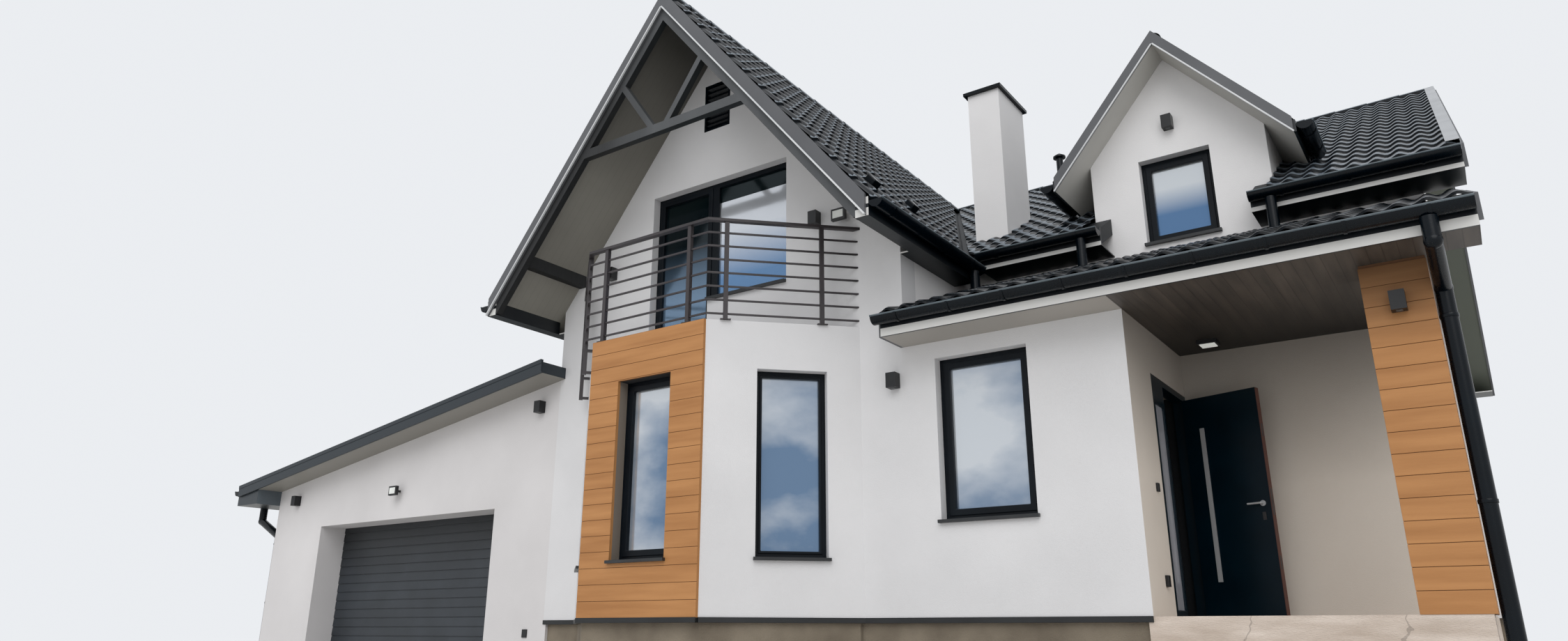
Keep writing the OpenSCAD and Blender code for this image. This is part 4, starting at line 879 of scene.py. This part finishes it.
# Painted reflection: the dormer's pane and the balcony's fixed light fade from pale at the top to blue below, and the
# balcony door's pane from blue below to dark at the top
for pane_x, pane_y, pane_z, reflection_tint, start, end, shade in [
        ((-0.2, 0.6), (1.8, 2.2), (3.8, 4.9), tint(208, 213, 217), 4.5, 4.2, tint(110, 147, 190)),
        ((-4.75, -3.6), (-0.05, 0.3), (2.9, 5.1), tint(216, 220, 226), 4.45, 3.85, tint(120, 159, 200)),
        ((-5.7, -4.75), (-0.05, 0.3), (2.9, 5.1), tint(112, 136, 160), 3.7, 4.4, tint(70, 76, 72))]:
    painted_reflection = tone_where(pane_glass, [within("X", *pane_x), within("Y", *pane_y), within("Z", *pane_z)],
                              reflection_tint)
    fading(pane_glass, "Z", start, end, shade, painted_reflection)
# Painted reflection: a dark band of the overhang across the top of the balcony window
tone_where(pane_glass, [within("X", -5.7, -3.6), within("Y", -0.05, 0.3), within("Z", 4.84, 5.1)],
           tint(20, 33, 36))
sash_border = 0.062
bead_border = 0.026
sash_lap = 0.02
sash_t = 0.05
sash_front = 0.098
frame_border = 0.06
frame_foot = 0.09
half_mullion = 0.03
paint(frame_plastic, "window_frames", "balcony_door")
paint(sill_coat, "window_sills")
paint(pane_glass, "window_panes")


def ring(low_x, low_z, wide, high, border, thick, front):
    bpy.ops.object.select_all(action="DESELECT")
    bpy.ops.mesh.primitive_plane_add(size=1)
    piece = bpy.context.object
    for point in piece.data.vertices:
        point.co = (low_x + (point.co.x + 0.5) * wide, front, low_z + (point.co.y + 0.5) * high)
    bpy.ops.object.mode_set(mode="EDIT")
    bpy.ops.mesh.select_all(action="SELECT")
    bpy.ops.mesh.inset(thickness=border)
    bpy.ops.mesh.delete(type="FACE")
    bpy.ops.object.mode_set(mode="OBJECT")
    with_modifier(piece, "SOLIDIFY", thickness=thick, offset=-1)
    bevelled(piece, 0.006)
    return piece


# Each window: the middle of its foot, its turn, its sill's height, its width and height, and its sashes (0: fixed)
window_places = [
    (-1.360, 0, 0, 0.837, 0.931, 1.577, 1), (-4.570, -1.122, 0, 0.520, 0.732, 1.869, 1),
    (-3.162, -0.499, 45, 0.520, 0.712, 1.869, 0), (-6.0455, -0.502, -41.91, 0.520, 0.712, 1.869, 0),
    (0.180, 1.900, 0, 3.829, 0.738, 0.998, 1), (2.330, 4.300, 90, 0.900, 1.100, 1.400, 2),
    (2.330, 8.700, 90, 0.900, 1.100, 1.400, 2), (2.330, 6.810, 90, 3.800, 1.300, 1.300, 2),
    (-7.130, 6.810, -90, 3.800, 1.300, 1.300, 2), (-5.400, 11.720, 180, 0.900, 1.400, 1.400, 2),
    (-1.900, 11.720, 180, 0.900, 1.400, 1.400, 2), (0.900, 11.720, 180, 0.900, 1.000, 1.400, 2),
    (-10.300, 6.500, 180, 0.300, 1.200, 0.700, 2)
]
sash_pieces = []
for place_x, place_y, turn, sill_z, wide, high, lights in window_places:
    for light in range(max(lights, 1)):
        light_low = -wide / 2 + frame_border if light == 0 else half_mullion
        light_high = wide / 2 - frame_border if light >= lights - 1 else -half_mullion
        sash = ring(light_low - sash_lap, frame_foot - sash_lap, light_high - light_low + 2 * sash_lap,
                    high - 0.15 + 2 * sash_lap, sash_border if lights else bead_border, sash_t, sash_front)
        sash.data.transform(facing(place_x, place_y, sill_z, turn))
        sash_pieces.append(sash)
sash = ring(-5.573 - sash_lap, 2.940 - sash_lap, 0.789 + 2 * sash_lap, 2.098 + 2 * sash_lap, sash_border, sash_t,
            sash_front)
sash.data.transform(Matrix.Translation(corner))
sash_pieces.append(sash)
settle(joined("window_sashes", sash_pieces), frame_plastic)

# Front door with its frame and fittings: a steel-faced leaf in gloss blue black with a copper-brown edge, a lock
# plate and bolts on that edge, a cylinder under the lever, and a steel threshold on the floor.
door_gloss = mixed_finish("door_gloss", tint(1, 23, 31), tint(4, 29, 38), 0.34, patches=3, grain=120,
                          depth=0.0002, specular=0.25)
bar_steel = mixed_finish("bar_steel", tint(168, 170, 172), tint(190, 192, 194), 0.38, metallic=0.15, patches=4,
                         grain=300, depth=0.0002, stretch=(1, 1, 0.1))
edge_copper = mixed_finish("edge_copper", tint(70, 38, 30), tint(88, 49, 38), 0.5, patches=3, grain=120,
                           depth=0.0002)
lock_steel = mixed_finish("lock_steel", tint(52, 50, 50), tint(70, 68, 68), 0.4, metallic=0.3, patches=4, grain=300,
                          depth=0.0002)
paint(door_gloss, "entrance_frame", "front_door")
paint(bar_steel, "door_fittings")

# The leaf's pieces are measured on the shut door and turned about its hinge to where it stands at rest
hinge_x = 0.014
hinge_y = 1.837
door_open = 72
ajar = facing(hinge_x, hinge_y, 0, door_open) @ Matrix.Translation((-hinge_x, -hinge_y, 0))
lock_plates = [((-0.047, 1.0695, plate_low), (-0.023, 1.0725, plate_high))
               for plate_low, plate_high in [(0.90, 1.14), (0.42, 0.54), (1.62, 1.74)]]
lever_cylinder = ((-0.071, 1.128, 0.86), (-0.064, 1.160, 0.93))
blocks("door_edge", [((-0.064, 1.0710, 0.018), (-0.006, 1.0735, 2.080))], edge_copper, edge=0.001,
       body="door", place=ajar)
blocks("door_locks", [*lock_plates, lever_cylinder], lock_steel, edge=0.001, body="door", place=ajar)
blocks("door_sill", [((-0.105, 1.07, 0), (-0.002, 1.84, 0.011))], bar_steel, edge=0.003)
sidelight_ring = ring(0.750, 0.05, 0.293, 1.84, border=0.013, thick=0.012, front=-0.001)
sidelight_ring.data.transform(facing(0, 0, 0, 90))
settle(joined("sidelight_bead", [sidelight_ring]), door_gloss)

# Garage door: steel sandwich panels in dark grey with a rib every 125 mm, in four sections that are hinged to each
# other and meet in shadow lines.
garage_door_coat = mixed_finish("garage_door_coat", tint(38, 43, 48), tint(48, 53, 59), 0.5, patches=2, grain=200,
                                depth=0.0004)
# Painted shade: the door darkens towards its top, under the lintel
fading(garage_door_coat, "Z", 0.5, 1.2, grey(0.45))
paint(garage_door_coat, "garage_door")
rib_pitch = 0.125
rib_gap = 0.012
rib_slant = 0.006
rib_count = 18
rib_foot = -0.81
rib = block((-12.25, 0.398, rib_foot), (-8.21, 0.412, rib_foot + rib_pitch - rib_gap))
for point in rib.data.vertices:
    if point.co.y < 0.4 and point.co.z > rib_foot + rib_gap:
        point.co.y += rib_slant
bevelled(rib, 0.004)
repeated(rib, rib_count, (0, 0, rib_pitch))
rib.name = "garage_door_ribs"
rib.data.transform(Matrix.Translation(corner))
settle(rib, garage_door_coat)

# Balcony railing: square posts and thin bars of steel in a dark coat, welded to each other and bolted to the slab
# through foot plates.
rail_coat = mixed_finish("rail_coat", tint(44, 40, 42), tint(58, 53, 55), 0.45, patches=3, grain=200, depth=0.0002)
paint(rail_coat, "balcony_railing")
balcony_floor_z = 2.88
foot_plates = []
for foot_x, foot_y, turn in [(-5.248, -1.112, 0), (-4.038, -1.112, 0), (-3.655, -0.978, 45), (-2.948, -0.271, 45)]:
    plate = block((-0.055, -0.045, 0), (0.055, 0.045, 0.008))
    plate.data.transform(facing(foot_x, foot_y, balcony_floor_z, turn))
    foot_plates.append(plate)
foot_piece = joined("rail_feet", foot_plates)
bevelled(foot_piece, 0.002)
settle(foot_piece, rail_coat)

# Lamps: black metal boxes screwed to the walls, with a small smoked lens above and below, floodlights with a
# frosted front, and a square frosted lamp under the porch ceiling.
lamp_coat = mixed_finish("lamp_coat", tint(12, 13, 15), tint(22, 23, 26), 0.4, patches=6, grain=200, depth=0.0002)
lens_frost, lens_smoke, porch_glow = [
    mixed_finish(lens_name, dark, light, 0.35, patches=6, grain=200, depth=0.0002) for lens_name, dark, light in [
        ("lens_frost", tint(216, 218, 214), tint(232, 234, 230)), ("lens_smoke", tint(70, 72, 72), tint(88, 90, 90)),
        ("porch_glow", tint(216, 218, 214), tint(232, 234, 230))]]
# Painted light: the porch lamp's lens is given a faint glow, standing in for the light it catches from below
glow_shader = porch_glow.node_tree.nodes["Principled BSDF"]
glow_shader.inputs["Emission Color"].default_value = tint(232, 234, 228)
glow_shader.inputs["Emission Strength"].default_value = 0.4
paint(lamp_coat, "lamps")
lens_half = 0.022
lens_t = 0.005
lenses = []
for lens_x, lens_y, lens_z in [(-12.980, 0, 1.824), (-7.438, 0, 2.632), (-2.265, 0, 2.245), (-6.272, 0, 4.208),
                               (-3.181, 0, 4.208), (2.040, 0, 2.245), (0.173, 1.9, 5.187)]:
    for lens_low in (lens_z - 0.078, lens_z + 0.073):
        lenses.append(((lens_x - lens_half, lens_y - 0.075, lens_low),
                       (lens_x + lens_half, lens_y - 0.031, lens_low + lens_t)))
blocks("lamp_lenses", lenses, lens_smoke, edge=0.001)
blocks("lamp_fronts", [((-2.895, -0.133, 4.105), (-2.765, -0.129, 4.190)),
                       ((-10.392, -0.133, 1.732), (-10.262, -0.129, 1.817))], lens_frost, edge=0.001)
blocks("porch_lamp_front", [((0.300, 1.420, 2.534), (0.440, 1.560, 2.541))], porch_glow, edge=0.001)

# Small fittings on the walls: a bell and a socket of dark plastic beside the door, and a socket low on the wall near
# the garage. They are screwed to the walls.
blocks("wall_fittings", [((-0.002, 0.480, 1.045), (0.022, 0.530, 1.120)),
                         ((-0.002, 0.455, 0.245), (0.028, 0.525, 0.340)),
                         ((-7.490, -0.014, -0.195), (-7.405, 0.002, -0.100))], lamp_coat, edge=0.004)
